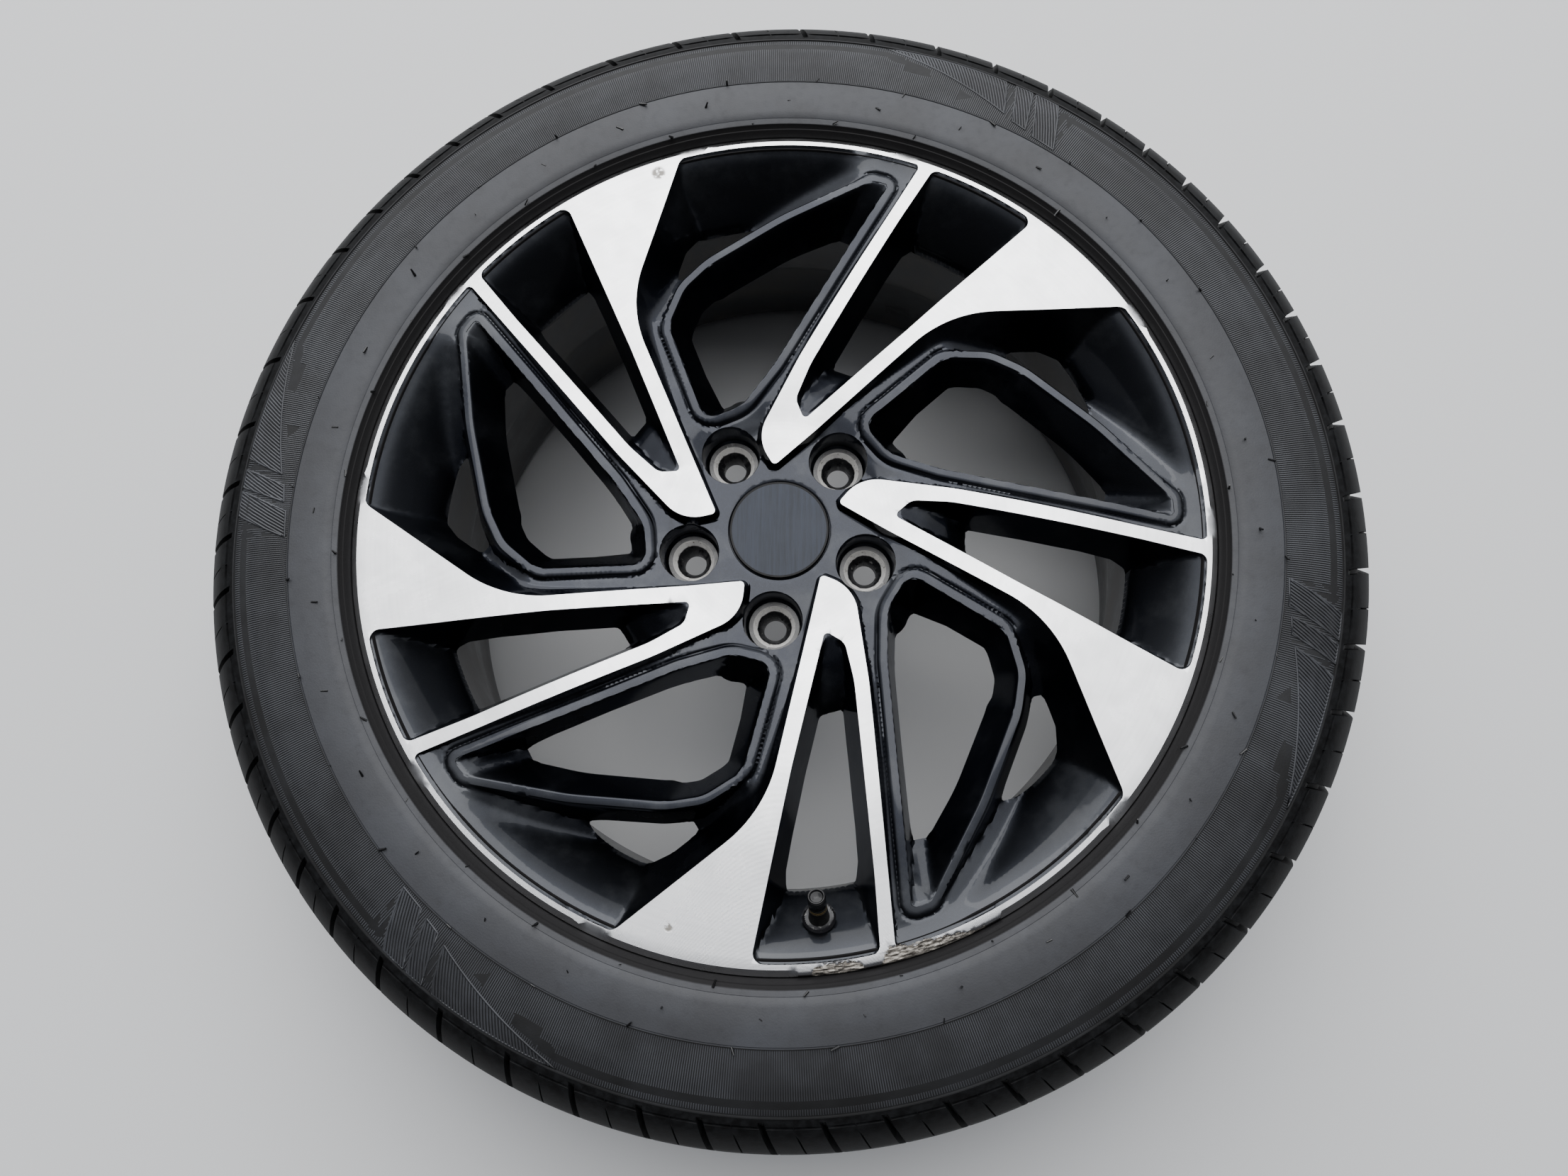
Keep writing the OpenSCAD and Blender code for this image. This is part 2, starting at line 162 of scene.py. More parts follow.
def distanceTo(p, line):
    # Distance from points to a polyline, in slices to save memory
    a = line[:-1]
    ab = line[1:] - a
    length2 = (ab**2).sum(1)
    out = np.empty(len(p))
    for i in range(0, len(p), 8000):
        q = p[i:i + 8000, None, :] - a[None]
        t = np.clip((q * ab[None]).sum(2) / length2[None], 0, 1)
        out[i:i + 8000] = np.sqrt(((q - t[..., None] * ab[None])**2).sum(2).min(1))
    return out


def insideOf(p, outline):
    a = outline
    b = np.roll(outline, -1, 0)
    out = np.empty(len(p), bool)
    for i in range(0, len(p), 8000):
        x = p[i:i + 8000, 0][:, None]
        y = p[i:i + 8000, 1][:, None]
        spans = (a[None, :, 1] > y) != (b[None, :, 1] > y)
        with np.errstate(divide="ignore", invalid="ignore"):
            run, rise = (b - a).T
            cross = run[None] * (y - a[None, :, 1]) / rise[None] + a[None, :, 0]
        out[i:i + 8000] = (spans & (x < cross)).sum(1) % 2 == 1
    return out


def closedLine(outline):
    return np.vstack([outline, outline[:1]])


def smoothMax(a, b, k):
    h = np.maximum(k - np.abs(a - b), 0) / k
    return np.maximum(a, b) + h * h * k / 4


def easeIn(x, low, high):
    t = np.clip((x - low) / (high - low), 0, 1)
    return t * t * (3 - 2 * t)


def softPlus(x, k):
    return np.where(x > 8 * k, x, k * np.log1p(np.exp(np.minimum(x / k, 40))))


# The casting. Outlines lie in the first sector's plane, five sectors go round.
wheelSettings = {
    "sectors": 5,
    "lipInner": 255.6,
    "lipOuter": 262.3,
    "lipEdge": 52.94,
    "capRing": 31.9,
    "padInner": 34.2,
    "padOuter": 74.9,
    # Cap seat and centre bore below the hub's edge
    "bore": [[31.5, 38.5], [28.5, 38.5], [28.5, 22], [31, 22], [31, 19.5], [33.55, 19.5], [33.55, 0.7],
             [34.2, 0]],
    "barrelInner": 218.0,
    "lugCircle": 57.15,
    "lugAngle": 122.5,
    "lugHole": 7.25,
    "lugPocket": 18.4,
    "lugSeatLow": 8.6,
    "lugSeatOuter": 15.8,
    "roundSteps": 360,
    "hubSteps": 180,
    "spoke": [[-3.4, 39.4, 2.5], [105.5, 135.4, 80], [214.6, 139.5, 9]]
             + ringPart(256.6, 31, 29, 1) + [[265, 130, 0], [225, 225, 0], [75, 285, 0]]
             + ringPart(256.6, 73, 71, 1) + [[89.8, 239.3, 4], [12.4, 109.6, 200], [-14.7, 57.8, 24]],
    "window": [[15.2, 69, 2.6], [79, 124.2, 300], [160.6, 198.8, 6]] + ringPart(255.6, 53.4, 65.4, 6)
              + [[97.9, 236.1, 5], [76, 201.2, 400], [19, 104, 80], [9.8, 82, 9]],
    "loop": [[-47.5, 69.8, 9], [-24, 79.5, 22], [-4, 106, 60], [69.4, 227.2, 2.5], [58, 230.5, 7],
             [2, 203, 150], [-46, 173, 55], [-62, 157, 25], [-71.8, 132, 14]],
    # Where the slope under the lip drops to the groove round a loop's tip
    "ledge": [[84, 224, 0], [77, 232, 5], [58.4, 240, 14], [34, 235.5, 60], [14, 228.5, 60], [-14, 220.5, 0]],
    "machined": [[0, 46.5], [64, 47.5], [78, 49.1], [97, 51.6], [136, 55.7], [155, 56.9], [175, 57.4],
                 [195, 57.1], [214, 56.4], [243, 55.9], [255.6, 55.75], [259.6, 55.45], [261.4, 54.7],
                 [262.3, 52.94]],
    "painted": [[0, 40.3], [62, 40.3], [70, 42.2], [86, 45.6], [113, 47.9], [145, 50], [202, 53.2],
                [236, 53.4],
                [265, 53.4]],
    "underLip": [[190, -60], [215.5, 0], [217.3, 15.5], [218.6, 19.6], [221.5, 23.6], [226, 28.8],
                 [232, 35.5],
                 [238, 42.0], [241.5, 45.6], [245, 48.9], [248, 51.2], [251.5, 53.2], [255.6, 55.1],
                 [262, 56.5]],
    # Kerb damage: [angle, inner radius] along each torn stretch of the lip
    "torn": [[[-85.4, 262.4], [-85.0, 257.6], [-83.6, 256.4], [-80.8, 256.4], [-79.2, 257.4], [-78.6, 262.4]],
             [[-76.6, 262.4], [-76.1, 257.4], [-75.2, 253.0], [-74.1, 252.9], [-73.0, 255.4], [-71, 254.8],
              [-69, 256.4], [-67, 258.0], [-65, 259.8], [-63.2, 261.2], [-62.2, 262.4]]],
    "tornDepth": 2.0,
    # The valve's axis: foot, direction, and radii of its recess and hole
    "valveFoot": (25.515, -234.87, 25.07),
    "valveAxis": (-0.0539997, 0.4970755, 0.8660254),
    "valveRecess": 8.6,
    "valveFloor": 8.5,
    "recessWall": 3.2,
    "recessSquash": (1, 0.87),
    "back": [[30, 0], [74.9, 0], [78, 4], [92, 18], [118, 26], [150, 29], [185, 30], [205, 28], [215, 21],
             [218, 14], [230, 10]],
    # How steeply the wide arm's outer side falls, along the radius
    "wideWall": [[40, 3.5], [70, 3.2], [114, 1.9], [136, 1.3], [157, 1.0], [172, 1.2], [190, 1.75],
                 [262, 1.9]],
    # Where the mesh gets its points: rows beside the outlines, rings as [radius, count, phase], and grids
    "rowOffsets": {
        "window": [0.3, 0.8, 1.6, 2.8, 4.2, 5.8, 7.6, 9.6, 12],
        "loop": [0.3, 0.7, 1.3, 2.2, 3.4, 5, 7, 9.2, 11.5, 14, 17],
        "loopOut": [0.28, 0.8, 2.4, 4.0, 4.9, 5.6, 6.2, 6.9, 7.6, 8.6, 9.8, 11.4, 13.2, 15.2, 17.5],
        "rightOut": [0.35, 0.9, 1.6, 2.4, 3.4, 4.1, 4.8, 6.4, 8.2, 10.2, 12.4, 14.8, 17.4, 20],
        "leftOut": [0.35, 0.9, 1.6, 2.4, 3.4, 4.1, 4.8],
        "ledge": [-0.8, 0.0, 0.8, 1.6, 2.6],
    },
    "lugRings": [(7.25, 40), (13.25, 48), (15.8, 48), (17.3, 56), (17.9, 56), (18.4, 56)],
    "faceRings": [(34, 120, 0.5), (38, 90, 0), (43, 90, 0.5), (62, 110, 0), (66, 110, 0.5), (70, 120, 0),
                  (78, 130, 0), (86, 140, 0), (97, 150, 0), (107, 160, 0), (120, 170, 0), (136, 180, 0),
                  (155, 190, 0), (175, 200, 0), (195, 220, 0), (214, 240, 0), (230, 250, 0), (249, 300, 0),
                  (252.6, 360, 0.5), (258.4, 360, 0.5), (260.8, 360, 0)],
    "slopeRings": [216.2, 217.4, 218.4, 219.6, 221.5, 225, 229, 233, 236.2, 237.8, 239.4, 240.6, 241.6, 243,
                   245, 247.5],
    "recessRings": [0.5, 3.0, 5.4, 7.0, 8.1, 8.6, 8.9, 9.3, 9.9, 10.8, 12.0],
    "backRings": [(55, 60), (78, 180), (85, 180), (92, 180), (104, 180), (118, 180), (134, 180), (150, 180),
                  (168, 180), (185, 180), (205, 240), (215, 360)],
    # Torn stretch of the lip, as degrees and radii: from, to and step
    "tornSpan": (-87.0, -61.0, 0.19),
    "tornRings": (252.6, 262.0, 0.8),
    "gridStep": 3.2,
    "fineStep": 1.75,
}

# The wheel's finishes, in the order of its material slots
paintMark, machinedMark, seatMark, backMark, tornMark = range(5)


def wheelLines(s):
    # The outlines as points, and the sides of each pocket as separate lines
    spoke = softOutline(s["spoke"])
    near = np.hypot(spoke[:, 0], spoke[:, 1]) < 258.5
    split = int(np.argmax(~near))
    after = len(spoke) - int(np.argmax(~near[::-1]))
    right = spoke[:split + 1]
    left = np.vstack([spoke[after - 1:], spoke[:1]])
    window = softOutline(s["window"])
    loop = softOutline(s["loop"])
    ledge = np.array([c[:2] for c in s["ledge"]], float)

    def side(outline, start, end):
        # Points of an outline from the one nearest to start round to the one nearest to end
        i = int(np.argmin(((outline - start)**2).sum(1)))
        j = int(np.argmin(((outline - end)**2).sum(1)))
        return outline[i:j + 1] if j > i else np.vstack([outline[i:], outline[:j + 1]])

    return {
        "spoke": spoke, "right": right, "left": left, "window": window, "loop": loop, "ledge": ledge,
        "windowRight": side(window, (13.5, 70.5), (158, 201)),
        "windowLeft": side(window, (99.5, 233.5), (11, 79)),
        "loopSides": [
            (side(loop, (-71.6, 133.5), (-50, 72)), 1.95),
            (side(loop, (-46, 173), (-71.6, 131)), 2.05),
            (side(loop, (56, 229.5), (-46, 173)), 1.66),
            (side(loop, (68, 225.5), (57, 229.8)), 0.78),
            (side(loop, (-6, 103), (68.6, 226)), 4.7),
            (side(loop, (-26, 79), (-5, 104)), 4.9),
            (side(loop, (-50, 72), (-25, 79.5)), 2.25),
        ],
    }


lines = wheelLines(wheelSettings)
machinedAt = smoothProfile(wheelSettings["machined"])
paintedAt = smoothProfile(wheelSettings["painted"])
underLipAt = smoothProfile(wheelSettings["underLip"])
wideWallAt = smoothProfile(wheelSettings["wideWall"])
backRadii = np.array([p[0] for p in wheelSettings["back"]], float)
backHeights = np.array([p[1] for p in wheelSettings["back"]], float)


def backAt(r):
    return np.interp(r, backRadii, backHeights)


def foldSector(p):
    # Points turned into the first sector's span, from 54 to 126 degrees
    a = np.degrees(np.arctan2(p[:, 1], p[:, 0]))
    turn = -72 * np.floor((a - 54) / 72)
    t = np.radians(turn)
    c = np.cos(t)
    s = np.sin(t)
    return np.stack([p[:, 0] * c - p[:, 1] * s, p[:, 0] * s + p[:, 1] * c], 1)


def lugCentre(s, i):
    t = math.radians(s["lugAngle"] + 72 * i)
    return s["lugCircle"] * np.array([math.cos(t), math.sin(t)])


def lugDistance(p):
    out = np.full(len(p), 1e9)
    for a in (wheelSettings["lugAngle"], wheelSettings["lugAngle"] - 72):
        t = math.radians(a)
        c = wheelSettings["lugCircle"] * np.array([math.cos(t), math.sin(t)])
        out = np.minimum(out, np.hypot(p[:, 0] - c[0], p[:, 1] - c[1]))
    return out


def tornAmount(p):
    # 0 outside the kerb damage, rising to 1 inside it, ragged at the border
    angle = np.degrees(np.arctan2(p[:, 1], p[:, 0]))
    radius = np.hypot(p[:, 0], p[:, 1])
    out = np.zeros(len(p))
    for line in wheelSettings["torn"]:
        line = np.array(line)
        near = (angle > line[0, 0] - 1) & (angle < line[-1, 0] + 1) & (radius > 250)
        inner = np.interp(angle, line[:, 0], line[:, 1])
        for i in np.nonzero(near)[0]:
            ragged = noise.noise(Vector((p[i, 0], p[i, 1], 0)) * 0.55) * 1.5
            out[i] = max(out[i], min(1, max(0, (radius[i] - inner[i] + ragged) / 1.2)))
    return out


def tornHeight(p, amount):
    # Long scraped strokes along the kerb, with broken edges
    angle = np.arctan2(p[:, 1], p[:, 0])
    radius = np.hypot(p[:, 0], p[:, 1])
    out = np.zeros(len(p))
    for i in np.nonzero(amount > 0)[0]:
        place = Vector((angle[i] * 40, (radius[i] - angle[i] * 16) * 1.3, 0))
        stroke = 0.5 + noise.noise(place) + 0.45 * noise.noise(place * 2.7)
        share = 0.35 + 0.65 * (radius[i] > 256)
        out[i] = amount[i] * wheelSettings["tornDepth"] * max(0.12, min(1.15, stroke)) * share
    return out


def isMachined(p):
    # True on the turned faces: the V spokes and the lip
    q = foldSector(p)
    r = np.hypot(q[:, 0], q[:, 1])
    out = r > wheelSettings["lipInner"]
    for turn in (0, 72):
        out |= insideOf(q, turnPoints(lines["spoke"], turn))
    for turn in (0, 72):
        out &= ~insideOf(q, turnPoints(lines["window"], turn))
    return out & (lugDistance(q) > wheelSettings["lugPocket"])


def lugHeight(d, top):
    # Seat cone, flat floor, wall and rounded edge of a lug pocket
    wall = np.interp(d, [7.25, 13.25, 15.8, 17.3, 17.9, 18.4], [8.6, 19, 19, 20.5, 38.4, 60])
    return np.minimum(top, wall)


def recessFoot(s):
    # Where the valve's axis meets the floor of its recess
    return np.array(s["valveFoot"]) + np.array(s["valveAxis"]) * s["valveFloor"]


def valveHeight(p, height):
    # The round recess for the valve, cut square to the valve's axis into the slope under the lip
    s = wheelSettings
    u = np.array(s["valveAxis"])
    middle = recessFoot(s)
    gap = p - middle[:2]
    floor = middle[2] - (gap @ u[:2]) / u[2]
    # Distance from the axis on the floor's plane decides between the floor and the wall
    q = np.column_stack([gap, floor - middle[2]])
    d = np.linalg.norm(q, axis=1)
    wall = floor + np.clip(d - s["valveRecess"], 0, None) * s["recessWall"]
    return np.where(d < s["valveRecess"] + 5, np.minimum(height, wall), height)


def faceHeight(p, machined):
    q = foldSector(p)
    r = np.hypot(q[:, 0], q[:, 1])
    x = q[:, 0]
    y = q[:, 1]
    top = machinedAt(r)
    crest = paintedAt(r)
    under = underLipAt(r)

    loopGap = np.full(len(q), 1e9)
    for turn in (-72, 0, 72):
        loopGap = np.minimum(loopGap, distanceTo(q, closedLine(turnPoints(lines["loop"], turn))))
    # The terrace beside a loop sinks into the recess at both ends
    recessSide = (119 * (y - 66) - 174 * (x + 47)) > 0
    sinkHub = 0.55 * softPlus((x + 80) * 0.23 + (y - 135) * 0.97, 2.5)
    sinkRim = 0.42 * softPlus(-((x - 52) * 0.97 + (y - 239) * 0.25), 3)
    terrace = crest - 0.55 * easeIn(loopGap, 4.5, 8) - np.where(recessSide, np.minimum(sinkHub, sinkRim), 0)
    rim = crest - 3.4 * softPlus(loopGap - 4.9, 0.45)
    groove = 1.15 * np.exp(-((loopGap - 6.6) / 0.85)**2) * easeIn(r, 66, 84)
    groove *= np.where(recessSide, 1 - easeIn(np.minimum(sinkHub, sinkRim), 0.2, 1.5), 1)

    # The slope under the lip, lower inside the ledge line round a loop's tip
    ledgeGap = distanceTo(q, lines["ledge"])
    inward = np.interp(x, lines["ledge"][::-1, 0], lines["ledge"][::-1, 1]) > y
    ledgeDrop = easeIn(np.where(inward, ledgeGap, 0), 0.0, 1.6)
    under = under - 3.2 * ledgeDrop * easeIn(x, -20, 6) * easeIn(r, 221, 226)

    right = np.full(len(q), 1e9)
    for turn in (0, 72):
        right = np.minimum(right, distanceTo(q, turnPoints(lines["right"], turn)))
    left = distanceTo(q, lines["left"])
    rightWall = top - wideWallAt(r) * right
    leftWall = top - 2.6 * left

    painted = smoothMax(rim, terrace - groove, 1.2)
    painted = smoothMax(painted, under, 4.6)
    painted = smoothMax(painted, rightWall, 2.4)
    painted = smoothMax(painted, leftWall, 2.2)
    # Nothing painted stands above the turned face beside it
    nearEdge = np.minimum(np.minimum(right, left), wheelSettings["lipInner"] - r)
    painted = np.minimum(painted, top - 0.25 * np.clip(nearEdge, 0, 1))

    # Inside a loop
    inLoop = insideOf(q, lines["loop"])
    for turn in (-72, 72):
        inLoop |= insideOf(q, turnPoints(lines["loop"], turn))
    walls = None
    for line, slope in lines["loopSides"]:
        gap = np.full(len(q), 1e9)
        for turn in (-72, 0, 72):
            gap = np.minimum(gap, distanceTo(q, turnPoints(line, turn)))
        wall = crest - slope * gap + 1.1 * (1 - np.exp(-slope * gap / 1.1))
        walls = wall if walls is None else smoothMax(walls, wall, 3.0)
    painted = np.where(inLoop, np.minimum(walls, crest), painted)

    # Inside a window
    inWindow = np.zeros(len(q), bool)
    windowRight = np.full(len(q), 1e9)
    windowLeft = np.full(len(q), 1e9)
    for turn in (0, 72):
        inWindow |= insideOf(q, turnPoints(lines["window"], turn))
        windowRight = np.minimum(windowRight, distanceTo(q, turnPoints(lines["windowRight"], turn)))
        windowLeft = np.minimum(windowLeft, distanceTo(q, turnPoints(lines["windowLeft"], turn)))
    scoop = np.interp(r, [60, 66, 74, 90, 104, 112, 118, 124], [56, 51.5, 48.5, 43.5, 37.5, 32, 22, 0])
    deep = smoothMax(top - 3.55 * windowRight, top - 3.55 * windowLeft, 6.0)
    deep = smoothMax(deep, underLipAt(r), 5.0)
    deep = smoothMax(deep, scoop, 7.0)
    deep = np.minimum(deep, top - 0.25 * np.clip(np.minimum(windowRight, windowLeft), 0, 1))
    painted = np.where(inWindow, deep, painted)

    height = np.where(machined, top, painted)
    height = np.where(inWindow & (r > 219), valveHeight(p, height), height)
    height = lugHeight(lugDistance(q), height)
    return height - tornHeight(p, tornAmount(p))


def samplePoints(s):
    # Points for one sector, in rows beside each outline
    rows = []
    offsets = s["rowOffsets"]

    def addRows(outline, closed, sign, steps, limit):
        a = np.roll(outline, 1, 0) if closed else np.vstack([outline[:1], outline[:-1]])
        b = np.roll(outline, -1, 0) if closed else np.vstack([outline[1:], outline[-1:]])
        t = b - a
        t /= np.maximum(np.linalg.norm(t, axis=1), 1e-9)[:, None]
        normal = np.stack([-t[:, 1], t[:, 0]], 1) * sign
        line = closedLine(outline) if closed else outline
        for d in steps:
            p = outline + normal * d
            p = p[distanceTo(p, line) > d * 0.96]
            rows.append(p[limit(p)])

    # The outlines run clockwise or counter-clockwise: the sign comes from the outline's area
    def windingOf(outline):
        x = outline[:, 0]
        y = outline[:, 1]
        return 1 if (x * np.roll(y, -1) - np.roll(x, -1) * y).sum() > 0 else -1

    window = lines["window"]
    loop = lines["loop"]
    addRows(window, True, windingOf(window), offsets["window"], lambda p: insideOf(p, window))
    addRows(loop, True, windingOf(loop), offsets["loop"], lambda p: insideOf(p, loop))

    def outside(p):
        return ~isMachined(p) & ~insideOf(p, loop) & (np.hypot(p[:, 0], p[:, 1]) < s["lipInner"] - 0.4)

    addRows(loop, True, -windingOf(loop), offsets["loopOut"], outside)
    both = windingOf(lines["spoke"])
    addRows(lines["right"], False, -both, offsets["rightOut"], outside)
    addRows(lines["left"], False, -both, offsets["leftOut"], outside)
    ledge = shortSteps(lines["ledge"], 3.0, False)
    for d in offsets["ledge"]:
        shifted = ledge - np.array([0.2, 1.0]) * d
        rows.append(shifted[outside(shifted)])
    return rows


def ringPoints(radius, n, phase=0.0):
    a = (np.arange(n) + phase) * 2 * math.pi / n
    return np.stack([radius * np.cos(a), radius * np.sin(a)], 1)


def ringGrid(low, high, step):
    rows = []
    for i, r in enumerate(np.arange(low, high, step * 0.866)):
        rows.append(ringPoints(r, int(2 * math.pi * r / step), (i % 2) / 2))
    return np.vstack(rows)


def thinOut(groups):
    # Keeps points in order of importance, none closer than its group's spacing to one kept before
    cell = 4.0
    table = {}
    kept = []
    for points, spacing in groups:
        limit = spacing * spacing
        for x, y in points:
            i = int(math.floor(x / cell))
            j = int(math.floor(y / cell))
            free = True
            if spacing > 0:
                for u in (i - 1, i, i + 1):
                    for v in (j - 1, j, j + 1):
                        for ox, oy in table.get((u, v), ()):
                            if (ox - x)**2 + (oy - y)**2 < limit:
                                free = False
                                break
                        if not free:
                            break
                    if not free:
                        break
            if free:
                table.setdefault((i, j), []).append((x, y))
                kept.append((x, y))
    return kept


def triangulate(loose, loops, openLines):
    points = [Vector((float(x), float(y))) for x, y in loose]
    edges = []
    for line, closed in [(l, True) for l in loops] + [(l, False) for l in openLines]:
        start = len(points)
        points += [Vector((float(x), float(y))) for x, y in line]
        n = len(line)
        edges += [(start + i, start + i + 1) for i in range(n - 1)]
        if closed:
            edges.append((start + n - 1, start))
    result = delaunay_2d_cdt(points, edges, [], 0, 1e-5)
    flat = np.array([(v.x, v.y) for v in result[0]])
    faces = np.array([f for f in result[2] if len(f) == 3])
    a = flat[faces[:, 0]]
    b = flat[faces[:, 1]]
    c = flat[faces[:, 2]]
    area = (b[:, 0] - a[:, 0]) * (c[:, 1] - a[:, 1]) - (b[:, 1] - a[:, 1]) * (c[:, 0] - a[:, 0])
    faces[area < 0] = faces[area < 0][:, ::-1]
    return flat, faces[np.abs(area) > 1e-6]


def cutBelow(flat, height, level, faces, marks):
    # Trims the triangles where height falls below level, and gives the edges of the cut
    rise = height - level
    flat = list(map(tuple, flat))
    height = list(height)
    made = {}
    cutEdges = []
    outFaces = []
    outMarks = []

    def between(i, j):
        key = (min(i, j), max(i, j))
        if key not in made:
            t = rise[i] / (rise[i] - rise[j])
            made[key] = len(flat)
            (x0, y0), (x1, y1) = flat[i], flat[j]
            flat.append((x0 + (x1 - x0) * t, y0 + (y1 - y0) * t))
            height.append(height[i] + (height[j] - height[i]) * t)
        return made[key]

    for f, mark in zip(faces, marks):
        above = [rise[v] > 0 for v in f]
        n = sum(above)
        if n == 3:
            outFaces.append(tuple(f))
            outMarks.append(mark)
        elif n == 1:
            k = above.index(True)
            a, b, c = f[k], f[(k + 1) % 3], f[(k + 2) % 3]
            p, q = between(a, b), between(a, c)
            outFaces.append((a, p, q))
            outMarks.append(mark)
            cutEdges.append((p, q))
        elif n == 2:
            k = above.index(False)
            c, a, b = f[k], f[(k + 1) % 3], f[(k + 2) % 3]
            p, q = between(b, c), between(a, c)
            outFaces += [(a, b, p), (a, p, q)]
            outMarks += [mark, mark]
            cutEdges.append((p, q))
    return np.array(flat), np.array(height), outFaces, outMarks, cutEdges


def solidSide(faces, cutEdges):
    # True for the triangles on the metal's side of the cut: each cut edge has it on its left
    side = {}
    for a, b in cutEdges:
        side[(a, b)] = True
        side[(b, a)] = False
    state = [None] * len(faces)
    beside = {}
    for i, f in enumerate(faces):
        for a, b in ((f[0], f[1]), (f[1], f[2]), (f[2], f[0])):
            if (a, b) in side:
                state[i] = side[(a, b)]
            else:
                beside.setdefault((min(a, b), max(a, b)), []).append(i)
    near = {}
    for pair in beside.values():
        if len(pair) == 2:
            near.setdefault(pair[0], []).append(pair[1])
            near.setdefault(pair[1], []).append(pair[0])
    queue = [i for i, known in enumerate(state) if known is not None]
    while queue:
        i = queue.pop()
        for j in near.get(i, ()):
            if state[j] is None:
                state[j] = state[i]
                queue.append(j)
    return np.array([bool(v) for v in state])


def wheelSection(s):
    # Flanges, bead seats, humps, well and barrel as [radius, height], from the lip round to the back
    seat = 243.7
    outer = 45.25
    inner = -145.25
    curve = 9.5
    lip = s["lipOuter"]

    def bend(cx, cz, a, b, n):
        return [[cx + curve * math.cos(math.radians(a + (b - a) * i / n)),
                 cz + curve * math.sin(math.radians(a + (b - a) * i / n))] for i in range(n + 1)]

    return ([[lip, 51.7]] + bend(lip - curve, outer + curve, -25, -90, 6)
            + [[seat, outer], [seat - 1.7, outer - 19.2], [seat - 1.1, outer - 21.7],
               [seat - 1.3, outer - 23.2],
               [seat - 6.7, outer - 28], [223, outer - 49], [223, outer - 81], [seat - 11.7, outer - 97],
               [seat - 7.7, inner + 45], [seat - 1.3, inner + 26], [seat - 1.1, inner + 21.7],
               [seat - 1.7, inner + 19.2], [seat, inner]]
            + bend(lip - curve, inner - curve, 90, 25, 6)
            + [[lip, inner - 8.6], [lip - 0.4, inner - 10.2], [lip - 1.5, inner - 10.8],
               [seat + 9, inner - 10.8],
               [seat + 7, inner - 10.2], [seat - 2, inner - 7.5], [seat - 6.5, inner - 2],
               [seat - 7.4, inner + 8],
               [seat - 7.7, inner + 26], [seat - 13, inner + 47], [seat - 16.7, outer - 99],
               [221, outer - 91], [218.4, outer - 85], [218, outer - 80], [218, -10], [218, 10], [218, 14]])


def faceOutlines(s):
    # Rings and outlines that the face's triangles keep to
    lugRings = [ringPoints(d, n) + lugCentre(s, i) for i in range(s["sectors"]) for d, n in s["lugRings"]]
    n = s["roundSteps"]
    loops = [ringPoints(s["lipInner"], n), ringPoints(s["lipOuter"], n),
             ringPoints(s["capRing"], s["hubSteps"])] + lugRings
    openLines = []
    for i in range(s["sectors"]):
        loops += [turnPoints(lines["window"], 72 * i), turnPoints(lines["loop"], 72 * i)]
        openLines += [turnPoints(lines["right"], 72 * i), turnPoints(lines["left"], 72 * i)]
    return lugRings, loops, openLines


def facePoints(s, fixedPoints):
    # Loose points of the face, closest where its shape changes fastest
    rows = samplePoints(s)
    rowPoints = np.vstack([turnPoints(row, 72 * i) for i in range(s["sectors"]) for row in rows])
    radius = np.hypot(rowPoints[:, 0], rowPoints[:, 1])
    rowPoints = rowPoints[(radius > 33) & (radius < s["lipOuter"] - 0.5)]
    rings = np.vstack([ringPoints(r, n, phase) for r, n, phase in s["faceRings"]])
    slope = np.vstack([ringPoints(r, 400, (i % 2) / 2) for i, r in enumerate(s["slopeRings"])])
    slope = slope[~isMachined(slope)]
    angles = np.radians(np.arange(*s["tornSpan"]))
    torn = [(r, angles + 0.0016 * (i % 2)) for i, r in enumerate(np.arange(*s["tornRings"]))]
    torn = np.vstack([np.stack([r * np.cos(a), r * np.sin(a)], 1) for r, a in torn])
    torn = torn[np.abs(np.hypot(torn[:, 0], torn[:, 1]) - s["lipInner"]) > 0.35]
    recess = np.vstack([ringPoints(d, max(8, int(d * 5))) * np.array(s["recessSquash"]) + recessFoot(s)[:2]
                        for d in s["recessRings"]])
    step = s["gridStep"]
    gx, gy = np.meshgrid(np.arange(-255, 256, step), np.arange(-255, 256, step * 0.866))
    gx = gx + (np.arange(gx.shape[0]) % 2)[:, None] * step / 2
    grid = np.stack([gx.ravel(), gy.ravel()], 1)
    radius = np.hypot(grid[:, 0], grid[:, 1])
    grid = grid[(radius > 34) & (radius < s["lipInner"] - 1)]
    grid = grid[~isMachined(grid)]
    fine = ringGrid(214, 252, s["fineStep"])
    fine = fine[~isMachined(fine)]
    folded = foldSector(fine)
    fine = fine[(folded[:, 0] > -60) & (folded[:, 0] < 90)]
    # Each group's second value is how far its points stay from those kept before
    kept = thinOut([(fixedPoints, 0), (torn, 0.3), (recess, 0.3), (rowPoints, 0.24), (slope, 1.3),
                    (rings, 2.2), (fine, 1.35), (grid, 2.3)])
    return kept[len(fixedPoints):]


